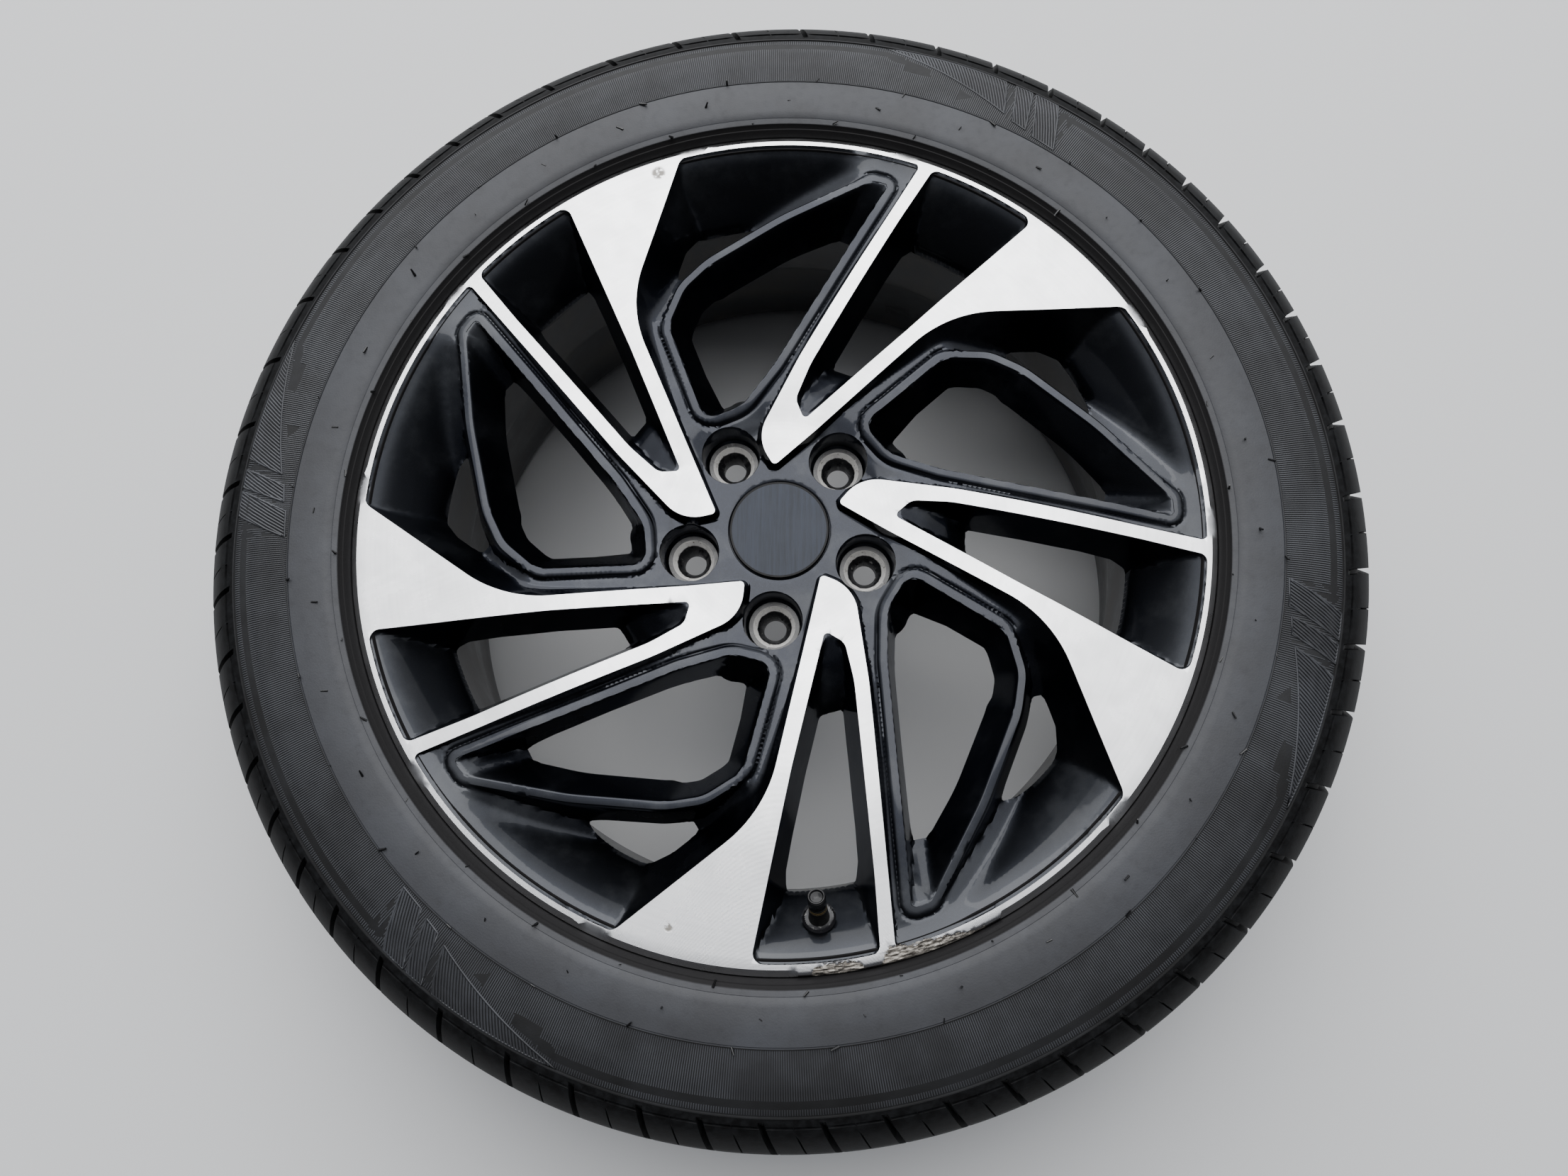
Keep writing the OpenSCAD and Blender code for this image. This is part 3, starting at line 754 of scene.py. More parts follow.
def markFace(s, flat, faces):
    # Keeps the triangles that are metal, and says which finish each one has
    middle = flat[faces].mean(1)
    radius = np.hypot(middle[:, 0], middle[:, 1])
    lug = lugDistance(foldSector(middle))
    keep = (radius > s["capRing"]) & (radius < s["lipOuter"]) & (lug > s["lugHole"])
    faces = faces[keep]
    middle = middle[keep]
    marks = isMachined(middle).astype(int)
    # Vertices of a machined triangle lie on the turned surface
    machinedVertex = np.zeros(len(flat), bool)
    machinedVertex[faces[marks == machinedMark].ravel()] = True
    marks = np.where((marks == paintMark) & (lug[keep] < s["lugSeatOuter"]), seatMark, marks)
    marks = np.where(tornAmount(middle) > 0.45, tornMark, marks)
    # Painted shade: the valve's recess takes the seats' plain black paint, darker than the dusty wheel paint
    # round it, so that it stays dark
    gap = np.hypot(*((middle - recessFoot(s)[:2]) / np.array(s["recessSquash"])).T)
    marks = np.where((marks == paintMark) & (gap < s["valveRecess"] + 1.2), seatMark, marks)
    return faces, marks, machinedVertex


def backOfFace(s, flat, cutIndex, cutEdges, lugRings):
    # The back shares the holes' edges with the face
    order = {v: i for i, v in enumerate(cutIndex)}
    points = [Vector((float(x), float(y))) for x, y in flat[cutIndex]]
    edges = [(order[a], order[b]) for a, b in cutEdges]
    for ring in ([ringPoints(s["padInner"], s["hubSteps"]), ringPoints(s["padOuter"], s["hubSteps"]),
                  ringPoints(s["barrelInner"], s["roundSteps"])]
                 + [lugRings[i] for i in range(0, len(lugRings), len(s["lugRings"]))]):
        start = len(points)
        points += [Vector((float(x), float(y))) for x, y in ring]
        n = len(ring)
        edges += [(start + i, start + (i + 1) % n) for i in range(n)]
    for r, n in s["backRings"]:
        points += [Vector((float(x), float(y))) for x, y in ringPoints(r, n, 0.25)]
    result = delaunay_2d_cdt(points, edges, [], 0, 1e-6)
    backFlat = np.array([(v.x, v.y) for v in result[0]])
    faces = np.array([f for f in result[2] if len(f) == 3])
    middle = backFlat[faces].mean(1)
    radius = np.hypot(middle[:, 0], middle[:, 1])
    lug = lugDistance(foldSector(middle))
    place = {i: v for v, sources in enumerate(result[3]) for i in sources}
    solid = solidSide(faces.tolist(), [(place[order[a]], place[order[b]]) for a, b in cutEdges])
    keep = (radius > s["padInner"]) & (radius < s["barrelInner"]) & (lug > s["lugHole"]) & solid
    return backFlat, faces[keep]


def buildWheel(s):
    lugRings, loops, openLines = faceOutlines(s)
    fixedPoints = [tuple(p) for line in loops + openLines for p in line]
    flat, faces = triangulate(facePoints(s, fixedPoints), loops, openLines)
    print("face triangulated:", len(faces))
    faces, faceFinish, machinedVertex = markFace(s, flat, faces)
    height = faceHeight(flat, machinedVertex)
    level = backAt(np.hypot(flat[:, 0], flat[:, 1]))
    flat, height, polygons, marks, cutEdges = cutBelow(flat, height, level, faces, faceFinish)
    print("face cut:", len(polygons))
    cutIndex = sorted({v for e in cutEdges for v in e})
    height[cutIndex] = backAt(np.hypot(flat[cutIndex, 0], flat[cutIndex, 1]))
    backFlat, backFaces = backOfFace(s, flat, cutIndex, cutEdges, lugRings)
    backHeight = backAt(np.hypot(backFlat[:, 0], backFlat[:, 1]))

    vertices = [(x, y, z) for (x, y), z in zip(flat, height)]
    base = len(vertices)
    vertices += [(x, y, z) for (x, y), z in zip(backFlat, backHeight)]
    polygons += [(base + f[2], base + f[1], base + f[0]) for f in backFaces]
    marks += [backMark] * len(backFaces)

    def revolve(section, n, mark, centre=(0, 0)):
        start = len(vertices)
        for r, z in section:
            vertices.extend([(x + centre[0], y + centre[1], z) for x, y in ringPoints(r, n)])
        for i in range(len(section) - 1):
            for j in range(n):
                a = start + i * n + j
                b = start + i * n + (j + 1) % n
                polygons.append((a, a + n, b + n, b))
                marks.append(mark(i) if callable(mark) else mark)
        return start

    n = s["roundSteps"]
    section = [[s["lipOuter"], s["lipEdge"]]] + wheelSection(s)
    lipStart = revolve(section, n, lambda i: machinedMark if i < 1 else backMark)
    # The first ring is the face's own edge, torn edge included
    edge = ringPoints(s["lipOuter"], n)
    drop = tornHeight(edge, tornAmount(edge))
    for i in range(n):
        x, y, z = vertices[lipStart + i]
        vertices[lipStart + i] = (x, y, z - drop[i])
        if drop[i] > 0:
            x, y, z = vertices[lipStart + n + i]
            pull = 1 - 0.0016 * drop[i]
            vertices[lipStart + n + i] = (x * pull, y * pull, z - 0.6 * drop[i])
    hub = float(faceHeight(ringPoints(s["capRing"], s["hubSteps"])[:1], np.array([False]))[0])
    bore = [[s["capRing"], hub], [31.62, hub - 0.15], [31.5, hub - 0.5]] + s["bore"]
    revolve(bore[::-1], s["hubSteps"], paintMark)
    for i in range(s["sectors"]):
        hole, steps = s["lugRings"][0]
        revolve([[hole, 0], [hole, s["lugSeatLow"]]], steps, seatMark, lugCentre(s, i))

    mesh = bpy.data.meshes.new("wheel_casting")
    mesh.from_pydata([(x * mm, y * mm, z * mm) for x, y, z in vertices], [], polygons)
    mesh.polygons.foreach_set("material_index", marks)
    mesh.update()
    return mesh


def finishMesh(mesh, merge=2e-6, sharpAngle=30.0):
    # Joins doubles, turns the faces outwards and marks crisp edges
    bm = bmesh.new()
    bm.from_mesh(mesh)
    bmesh.ops.remove_doubles(bm, verts=bm.verts, dist=merge)
    bmesh.ops.recalc_face_normals(bm, faces=bm.faces)
    loose = [v for v in bm.verts if not v.link_faces]
    bmesh.ops.delete(bm, geom=loose, context="VERTS")
    limit = math.radians(sharpAngle)
    for e in bm.edges:
        e.smooth = not (len(e.link_faces) == 2 and e.calc_face_angle() > limit)
    for f in bm.faces:
        f.smooth = True
    openEdges = sum(1 for e in bm.edges if len(e.link_faces) != 2)
    bm.to_mesh(mesh)
    bm.free()
    mesh.update()
    return openEdges


def addObject(name, mesh, body, materials, replaced=()):
    obj = bpy.data.objects.new(name, mesh)
    bpy.context.scene.collection.objects.link(obj)
    for m in materials:
        obj.data.materials.append(m)
    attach(obj, body)
    if replaced:
        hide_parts(*replaced)
    return obj


# Shader helpers
def newMaterial(name):
    m = bpy.data.materials.new(name)
    m.use_nodes = True
    nodes = m.node_tree.nodes
    place = nodes.new("ShaderNodeTexCoord").outputs["Object"]
    return m, nodes, m.node_tree.links, nodes["Principled BSDF"], place


def mathNode(nodes, links, op, a, b=None, c=None):
    n = nodes.new("ShaderNodeMath")
    n.operation = op
    for i, v in enumerate((a, b, c)):
        if v is None:
            continue
        if isinstance(v, (int, float)):
            n.inputs[i].default_value = v
        else:
            links.new(v, n.inputs[i])
    return n.outputs[0]


def rangeNode(nodes, links, value, low, high, toLow=0.0, toHigh=1.0):
    n = nodes.new("ShaderNodeMapRange")
    n.interpolation_type = "SMOOTHSTEP"
    links.new(value, n.inputs["Value"])
    for name, v in (("From Min", low), ("From Max", high), ("To Min", toLow), ("To Max", toHigh)):
        n.inputs[name].default_value = v
    return n.outputs["Result"]


def noiseNode(nodes, links, vector, scale, detail=3.0, roughness=0.5):
    n = nodes.new("ShaderNodeTexNoise")
    n.inputs["Scale"].default_value = scale
    n.inputs["Detail"].default_value = detail
    n.inputs["Roughness"].default_value = roughness
    links.new(vector, n.inputs["Vector"])
    return n.outputs["Fac"]


def mixColour(nodes, links, factor, a, b):
    n = nodes.new("ShaderNodeMix")
    n.data_type = "RGBA"
    for socket, v in ((n.inputs["Factor"], factor), (n.inputs["A"], a), (n.inputs["B"], b)):
        if isinstance(v, (int, float)):
            socket.default_value = v
        elif isinstance(v, tuple):
            socket.default_value = (*v, 1)
        else:
            links.new(v, socket)
    return n.outputs["Result"]


def bumpNode(nodes, links, height, strength, distance):
    n = nodes.new("ShaderNodeBump")
    n.inputs["Strength"].default_value = strength
    n.inputs["Distance"].default_value = distance
    links.new(height, n.inputs["Height"])
    return n.outputs["Normal"]


def newGroup(name, inputs, outputs):
    # A shader node group with named sockets, each given as a name and a type
    tree = bpy.data.node_groups.new(name, "ShaderNodeTree")
    for label, kind in inputs:
        tree.interface.new_socket(label, in_out="INPUT", socket_type="NodeSocket" + kind)
    for label, kind in outputs:
        tree.interface.new_socket(label, in_out="OUTPUT", socket_type="NodeSocket" + kind)
    nodes = tree.nodes
    return tree, nodes, tree.links, nodes.new("NodeGroupInput").outputs, nodes.new("NodeGroupOutput").inputs


def makeRoundPlace():
    # Distance from the wheel's axis, angle round it and height, in metres and radians
    tree, nodes, links, given, out = newGroup(
        "round_place", [("Place", "Vector")], [("Radius", "Float"), ("Angle", "Float"), ("Height", "Float")])
    split = nodes.new("ShaderNodeSeparateXYZ")
    links.new(given["Place"], split.inputs[0])
    x, y, z = split.outputs
    x2 = mathNode(nodes, links, "MULTIPLY", x, x)
    r2 = mathNode(nodes, links, "MULTIPLY_ADD", y, y, x2)
    links.new(mathNode(nodes, links, "SQRT", r2), out["Radius"])
    links.new(mathNode(nodes, links, "ARCTAN2", y, x), out["Angle"])
    links.new(z, out["Height"])
    return tree


noiseSockets = [("Place", "Vector"), ("Scale", "Float"), ("Detail", "Float"), ("Roughness", "Float")]


def groupNoise(nodes, links, given):
    n = nodes.new("ShaderNodeTexNoise")
    links.new(given["Place"], n.inputs["Vector"])
    for name in ("Scale", "Detail", "Roughness"):
        links.new(given[name], n.inputs[name])
    return n.outputs["Fac"]


def makeFineGrain():
    # Grain or orange peel: the noise itself and the normal it gives
    tree, nodes, links, given, out = newGroup(
        "fine_grain", noiseSockets + [("Strength", "Float"), ("Depth", "Float")],
        [("Grain", "Float"), ("Normal", "Vector")])
    grain = groupNoise(nodes, links, given)
    bump = nodes.new("ShaderNodeBump")
    links.new(given["Strength"], bump.inputs["Strength"])
    links.new(given["Depth"], bump.inputs["Distance"])
    links.new(grain, bump.inputs["Height"])
    links.new(grain, out["Grain"])
    links.new(bump.outputs["Normal"], out["Normal"])
    return tree


def makeBlotches():
    # Dust, wear or flake: two colours mixed by a cloudy noise between two levels of it
    own = [("Low", "Float"), ("High", "Float"), ("First", "Color"), ("Second", "Color")]
    tree, nodes, links, given, out = newGroup(
        "blotches", noiseSockets + own, [("Colour", "Color"), ("Cloud", "Float")])
    cloud = groupNoise(nodes, links, given)
    share = nodes.new("ShaderNodeMapRange")
    share.interpolation_type = "SMOOTHSTEP"
    links.new(cloud, share.inputs["Value"])
    links.new(given["Low"], share.inputs["From Min"])
    links.new(given["High"], share.inputs["From Max"])
    mixed = mixColour(nodes, links, share.outputs["Result"], given["First"], given["Second"])
    links.new(mixed, out["Colour"])
    links.new(cloud, out["Cloud"])
    return tree


roundPlace = makeRoundPlace()
fineGrain = makeFineGrain()
blotches = makeBlotches()


def placeGroup(nodes, links, tree, values):
    n = nodes.new("ShaderNodeGroup")
    n.node_tree = tree
    for name, v in values.items():
        if isinstance(v, bpy.types.NodeSocket):
            links.new(v, n.inputs[name])
        else:
            n.inputs[name].default_value = (*v, 1) if isinstance(v, tuple) else v
    return n.outputs


def grainNode(nodes, links, place, size, strength, depth):
    # Size is the noise's scale, detail and roughness
    out = placeGroup(nodes, links, fineGrain, {"Place": place, "Scale": size[0], "Detail": size[1],
                                               "Roughness": size[2], "Strength": strength, "Depth": depth})
    return out["Grain"], out["Normal"]


def blotchNode(nodes, links, place, size, levels, first, second):
    out = placeGroup(nodes, links, blotches, {"Place": place, "Scale": size[0], "Detail": size[1],
                                              "Roughness": size[2], "Low": levels[0], "High": levels[1],
                                              "First": first, "Second": second})
    return out["Colour"], out["Cloud"]


def spotMask(nodes, links, place, centre, radius, soft):
    # One round or long spot: 1 inside, 0 outside, in metres
    n = nodes.new("ShaderNodeVectorMath")
    n.operation = "DISTANCE"
    links.new(place, n.inputs[0])
    n.inputs[1].default_value = centre
    return rangeNode(nodes, links, n.outputs["Value"], radius - soft, radius + soft, 1.0, 0.0)


def arcMask(nodes, links, r, angle, a0, a1, r0, r1, edge):
    # 1 where the angle lies between a0 and a1 degrees and the radius between r0 and r1
    mask = rangeNode(nodes, links, angle, math.radians(a0 - edge), math.radians(a0 + edge))
    other = rangeNode(nodes, links, angle, math.radians(a1 - edge), math.radians(a1 + edge), 1.0, 0.0)
    inner = rangeNode(nodes, links, r, r0 - 0.0006, r0 + 0.0006)
    outer = rangeNode(nodes, links, r, r1 - 0.0006, r1 + 0.0006, 1.0, 0.0)
    mask = mathNode(nodes, links, "MULTIPLY", mask, other)
    mask = mathNode(nodes, links, "MULTIPLY", mask, inner)
    return mathNode(nodes, links, "MULTIPLY", mask, outer)


finishSettings = {
    "machinedColour": (0.985, 0.99, 1.0),
    "machinedRoughness": 0.30,
    "turningPitch": 0.00045,
    "paintColour": (0.010, 0.0116, 0.0165),
    "paintRoughness": 0.28,
    "dustColour": (0.10, 0.105, 0.11),
    "seatColour": (0.96, 0.94, 0.90),
    "seatDirt": (0.20, 0.15, 0.10),
    "seatPaint": (0.012, 0.012, 0.014),
    "tornDark": (0.045, 0.038, 0.032),
    "tornLight": (0.60, 0.56, 0.50),
    "tornDirt": (0.05, 0.045, 0.04),
    "backColour": (0.035, 0.037, 0.043),
    "backDust": (0.095, 0.09, 0.083),
    "residueColour": (0.012, 0.012, 0.013),
    # Residue inside the barrel, from and to in degrees
    "weightArcs": [(66.5, 71.5), (61.0, 65.4)],
    "scuffColour": (0.33, 0.31, 0.28),
    # Marks on the machined faces: centre, radius, softness and how solid
    "scuffs": [((-0.0805, 0.2368, 0.0561), 0.0042, 0.0012, 0.38),
               ((-0.0595, -0.2362, 0.0561), 0.0022, 0.0008, 0.44)],
}


def makeMachinedMetal(s):
    m, nodes, links, shader, place = newMaterial("machined_metal")
    r = placeGroup(nodes, links, roundPlace, {"Place": place})["Radius"]
    # Fine turned rings, and slow changes of brightness from ring to ring
    phase = mathNode(nodes, links, "MULTIPLY", r, 2 * math.pi / s["turningPitch"])
    rings = mathNode(nodes, links, "SINE", phase)
    along = nodes.new("ShaderNodeCombineXYZ")
    links.new(r, along.inputs[0])
    base = blotchNode(nodes, links, along.outputs[0], (420, 4, 0.6), (0.35, 0.7), s["machinedColour"],
                      tuple(c * 0.94 for c in s["machinedColour"]))[0]
    wear = noiseNode(nodes, links, place, 60, 5, 0.6)
    fine = noiseNode(nodes, links, place, 900, 2, 0.5)
    # One round scuff and one small mark on two wide arms
    torn = noiseNode(nodes, links, place, 210, 5, 0.65)
    spots = []
    for centre, radius, soft, low in s["scuffs"]:
        spot = spotMask(nodes, links, place, centre, radius, soft)
        spots.append(mathNode(nodes, links, "MULTIPLY", spot, rangeNode(nodes, links, torn, low, 0.5)))
    damage = mathNode(nodes, links, "MAXIMUM", *spots)
    links.new(mixColour(nodes, links, damage, base, s["scuffColour"]), shader.inputs["Base Color"])
    links.new(mathNode(nodes, links, "MULTIPLY_ADD", damage, -0.45, 1.0), shader.inputs["Metallic"])
    middle = s["machinedRoughness"]
    rough = rangeNode(nodes, links, wear, 0.3, 0.75, middle - 0.05, middle + 0.07)
    rough = mathNode(nodes, links, "MULTIPLY_ADD", damage, 0.3, rough)
    links.new(rough, shader.inputs["Roughness"])
    shader.inputs["Anisotropic"].default_value = 0.45
    shader.inputs["Coat Weight"].default_value = 0.12
    shader.inputs["Coat Roughness"].default_value = 0.12
    height = mathNode(nodes, links, "MULTIPLY_ADD", fine, 0.25, rings)
    gouge = mathNode(nodes, links, "MULTIPLY", noiseNode(nodes, links, place, 480, 4, 0.7), damage)
    height = mathNode(nodes, links, "MULTIPLY_ADD", gouge, -26.0, height)
    links.new(bumpNode(nodes, links, height, 0.35, 0.00003), shader.inputs["Normal"])
    return m


def makeWheelPaint(s):
    m, nodes, links, shader, place = newMaterial("wheel_paint")
    r = placeGroup(nodes, links, roundPlace, {"Place": place})["Radius"]
    base = blotchNode(nodes, links, place, (2600, 1, 0.5), (0.45, 0.75), s["paintColour"],
                      tuple(c * 1.7 for c in s["paintColour"]))[0]
    dust = noiseNode(nodes, links, place, 26, 5, 0.62)
    film = noiseNode(nodes, links, place, 9, 3, 0.5)
    # A thin grey film of road dust, more of it on the slope under the lip
    low = rangeNode(nodes, links, r, 0.212, 0.232)
    cover = mathNode(nodes, links, "MULTIPLY", rangeNode(nodes, links, dust, 0.46, 0.72), 0.20)
    cover = mathNode(nodes, links, "MULTIPLY_ADD", low, 0.16, cover)
    links.new(mixColour(nodes, links, cover, base, s["dustColour"]), shader.inputs["Base Color"])
    shader.inputs["Metallic"].default_value = 0.96
    middle = s["paintRoughness"]
    rough = rangeNode(nodes, links, film, 0.3, 0.7, middle - 0.04, middle + 0.10)
    links.new(mathNode(nodes, links, "MULTIPLY_ADD", cover, 0.5, rough), shader.inputs["Roughness"])
    shader.inputs["Specular Tint"].default_value = (0.42, 0.44, 0.5, 1)
    shader.inputs["Coat Weight"].default_value = 0.5
    shader.inputs["Coat Roughness"].default_value = 0.07
    links.new(grainNode(nodes, links, place, (340, 2, 0.5), 0.12, 0.0002)[1], shader.inputs["Normal"])
    return m


def makeBareSeat(s):
    m, nodes, links, shader, place = newMaterial("bare_seat")
    z = placeGroup(nodes, links, roundPlace, {"Place": place})["Height"]
    worn, normal = grainNode(nodes, links, place, (240, 5, 0.65), 0.4, 0.0003)
    # The nut wore the upper part of the cone bright, the rest keeps its black paint
    edge = mathNode(nodes, links, "MULTIPLY_ADD", worn, 0.0016, z)
    cone = rangeNode(nodes, links, edge, 0.0152, 0.0160)
    cone = mathNode(nodes, links, "MULTIPLY", cone, rangeNode(nodes, links, z, 0.01897, 0.01901, 1.0, 0.0))
    chip = mathNode(nodes, links, "MULTIPLY", rangeNode(nodes, links, worn, 0.62, 0.70), 0.3)
    bare = mathNode(nodes, links, "MAXIMUM", cone, chip)
    metal = blotchNode(nodes, links, place, (420, 4, 0.6), (0.60, 0.72), s["seatColour"], s["seatDirt"])[0]
    links.new(mixColour(nodes, links, bare, s["seatPaint"], metal), shader.inputs["Base Color"])
    links.new(mathNode(nodes, links, "MULTIPLY", bare, 0.12), shader.inputs["Metallic"])
    links.new(rangeNode(nodes, links, worn, 0.3, 0.7, 0.22, 0.42), shader.inputs["Roughness"])
    links.new(normal, shader.inputs["Normal"])
    return m


def makeTornMetal(s):
    # Scraped bare casting on the kerbed lip, with strokes along the kerb
    m, nodes, links, shader, place = newMaterial("torn_metal")
    around = placeGroup(nodes, links, roundPlace, {"Place": place})
    angle = around["Angle"]
    combine = nodes.new("ShaderNodeCombineXYZ")
    links.new(mathNode(nodes, links, "MULTIPLY", angle, 0.045), combine.inputs[0])
    slant = mathNode(nodes, links, "MULTIPLY_ADD", angle, -0.016, around["Radius"])
    links.new(slant, combine.inputs[1])
    stroke, normal = grainNode(nodes, links, combine.outputs[0], (900, 5, 0.7), 0.9, 0.0007)
    blot = noiseNode(nodes, links, place, 260, 4, 0.6)
    strokes = rangeNode(nodes, links, stroke, 0.38, 0.62)
    colour = mixColour(nodes, links, strokes, s["tornDark"], s["tornLight"])
    blots = rangeNode(nodes, links, blot, 0.58, 0.72, 0.0, 0.8)
    links.new(mixColour(nodes, links, blots, colour, s["tornDirt"]), shader.inputs["Base Color"])
    shader.inputs["Metallic"].default_value = 0.35
    shader.inputs["Roughness"].default_value = 0.62
    links.new(normal, shader.inputs["Normal"])
    return m


def makeBackPaint(s):
    m, nodes, links, shader, place = newMaterial("back_paint")
    around = placeGroup(nodes, links, roundPlace, {"Place": place})
    r, angle, z = around["Radius"], around["Angle"], around["Height"]
    base, dust = blotchNode(nodes, links, place, (18, 5, 0.6), (0.38, 0.7), s["backColour"], s["backDust"])
    fine, normal = grainNode(nodes, links, place, (300, 3, 0.6), 0.2, 0.0003)
    # Dark residue of two stick-on weights that were taken off
    inside = rangeNode(nodes, links, z, -0.128, -0.118)
    inside = mathNode(nodes, links, "MULTIPLY", inside, rangeNode(nodes, links, z, -0.100, -0.092, 1.0, 0.0))
    patches = [arcMask(nodes, links, r, angle, a0, a1, 0.2, 0.27, 0.3) for a0, a1 in s["weightArcs"]]
    patch = mathNode(nodes, links, "MAXIMUM", *patches)
    patch = mathNode(nodes, links, "MULTIPLY", patch, inside)
    patch = mathNode(nodes, links, "MULTIPLY", patch, rangeNode(nodes, links, fine, 0.36, 0.52))
    links.new(mixColour(nodes, links, patch, base, s["residueColour"]), shader.inputs["Base Color"])
    shader.inputs["Metallic"].default_value = 0.3
    shader.inputs["Coat Weight"].default_value = 0.3
    links.new(rangeNode(nodes, links, dust, 0.3, 0.7, 0.36, 0.6), shader.inputs["Roughness"])
    links.new(normal, shader.inputs["Normal"])
    return m


machinedMetal = makeMachinedMetal(finishSettings)
wheelPaint = makeWheelPaint(finishSettings)
bareSeat = makeBareSeat(finishSettings)
backPaint = makeBackPaint(finishSettings)
tornMetal = makeTornMetal(finishSettings)

wheelMesh = buildWheel(wheelSettings)
openEdges = finishMesh(wheelMesh)
wheel = addObject("wheel_casting", wheelMesh, "wheel_assembly",
                  [wheelPaint, machinedMetal, bareSeat, backPaint, tornMetal], ["wheel"])
print("wheel built, triangles:", sum(len(p.vertices) - 2 for p in wheelMesh.polygons),
      "open edges:", openEdges)


# The tyre. Profile points are [radius, distance from the middle plane].
tyreSettings = {
    "middle": -50.0,
    "firstBlock": 2.4,
    "pitches": "LMSSMSSSMMMLLLMLLMSSSSMLLMSSMSSSSSMLLMMSSSSSSSMMMLLLMLL",
    "pitchSizes": {"S": 5.72, "M": 6.65, "L": 7.62},
    "grooveHalf": 0.27,
    "sipeHalf": 0.05,
    "grooveDepth": 6.2,
    "sipeDepth": 4.0,
    "slotDepth": 1.1,
    "knurlCount": 1500,
    "knurlInner": 300.0,
    "knurlOuter": 334.4,
    "ribSize": 0.42,
    "hatchPitch": 1.75,
    "hatchSize": 0.72,
    "nubRows": [(269.6, 32), (284.6, 32), (299.2, 32)],
    # First angle of a hatched group, and whether it runs with or against the angle
    "hatchRadius": 318,
    "hatchGroups": [(54.75, 1), (-134.4, 1), (-6.75, -1), (-178.25, -1)],
    # Corners of its two strips and its triangle: [degrees from the start, radius]
    "hatchShapes": [[[0, 301.6], [3.1, 302.6], [5.5, 335], [2.75, 335]],
                    [[4.25, 304.6], [6.2, 306.2], [7.95, 335], [5.95, 335]],
                    [[7.5, 309], [23.3, 334.6], [9.2, 335]]],
    "outerSide": [[262.7, 100.4], [263.2, 103.9], [264.7, 105.9], [265.4, 106.6], [265.9, 107.3],
                  [266.6, 107.35],
                  [267.5, 108.1], [268.1, 108.7], [268.7, 109.6], [269.3, 109.75], [272, 110.3],
                  [272.25, 110.15],
                  [272.6, 110.45], [278, 111.1], [285.7, 111.5], [292, 111.3], [298.3, 110.75],
                  [298.7, 110.35],
                  [298.95, 110.9], [299.4, 110.9], [299.7, 110.0], [305, 109.75], [311.7, 109.3],
                  [317, 108.6],
                  [323, 107.5], [329, 105.7], [334.6, 103.3], [335.2, 103.1], [335.6, 103.75], [336.3, 103.6],
                  [336.7, 102.9], [338.4, 102.6], [340.6, 102.0], [340.9, 101.9], [341.9, 101.5],
                  [342.2, 101.35],
                  [345.5, 99.4], [349.5, 95.9], [353.5, 91.3], [357.2, 86.4], [358.6, 83.6], [360, 79],
                  [361.2, 74],
                  [362.4, 66], [363.3, 58], [363.9, 50]],
    "ribs": [[364.2, 46.2], [357.2, 45.0], [357.2, 39.0], [364.3, 37.8], [364.8, 28], [364.9, 19.2],
             [357.8, 18.0],
             [357.8, 12.0], [364.9, 10.8], [365, 0]],
    "inner": [[253.09, 105.05], [249.5, 98.0], [246.7, 94.95], [244, 92.75], [243, 79.25], [244.7, 77.75],
              [255.7, 86.25], [267.7, 98], [288.7, 100.5], [323, 97.5], [341, 85], [349, 71], [351, 30],
              [351, 0]],
}


def blockColumns(s):
    # Angles of the columns in degrees, with what each one cuts: 0 none, 1 groove, 2 sipe; and slot flags
    total = sum(s["pitchSizes"][c] for c in s["pitches"])
    columns = []
    start = s["firstBlock"]
    g = s["grooveHalf"]
    p = s["sipeHalf"]
    for c in s["pitches"]:
        size = s["pitchSizes"][c] * 360 / total
        columns += [(start - g - 0.04, 0, 0), (start - g + 0.04, 1, 0),
                    (start + g - 0.04, 1, 0), (start + g + 0.04, 0, 0)]
        for t, slot in ((0.22, 1), (0.36, 1)):
            columns.append((start + size * t, 0, slot))
        half = start + size * 0.5
        columns += [(half - p - 0.03, 0, 1), (half - p, 2, 1), (half + p, 2, 1), (half + p + 0.03, 0, 1)]
        for t, slot in ((0.64, 1), (0.8, 1)):
            columns.append((start + size * t, 0, slot))
        start += size
    return columns


def tyreSection(s):
    # Closed section from the outer side over the tread to the inner side and back inside
    side = s["outerSide"]
    ribs = s["ribs"]
    across = side + ribs
    back = [[r, -w] for r, w in reversed(side + ribs[:-1])]
    # The inboard side mirrors the outer one, and inner is the face round the air space
    inner = s["inner"]
    inside = [[r, -w] for r, w in inner[:-1]]
    ring = across + back + inside + [[r, w] for r, w in reversed(inner)]
    return ring, len(across), len(back)


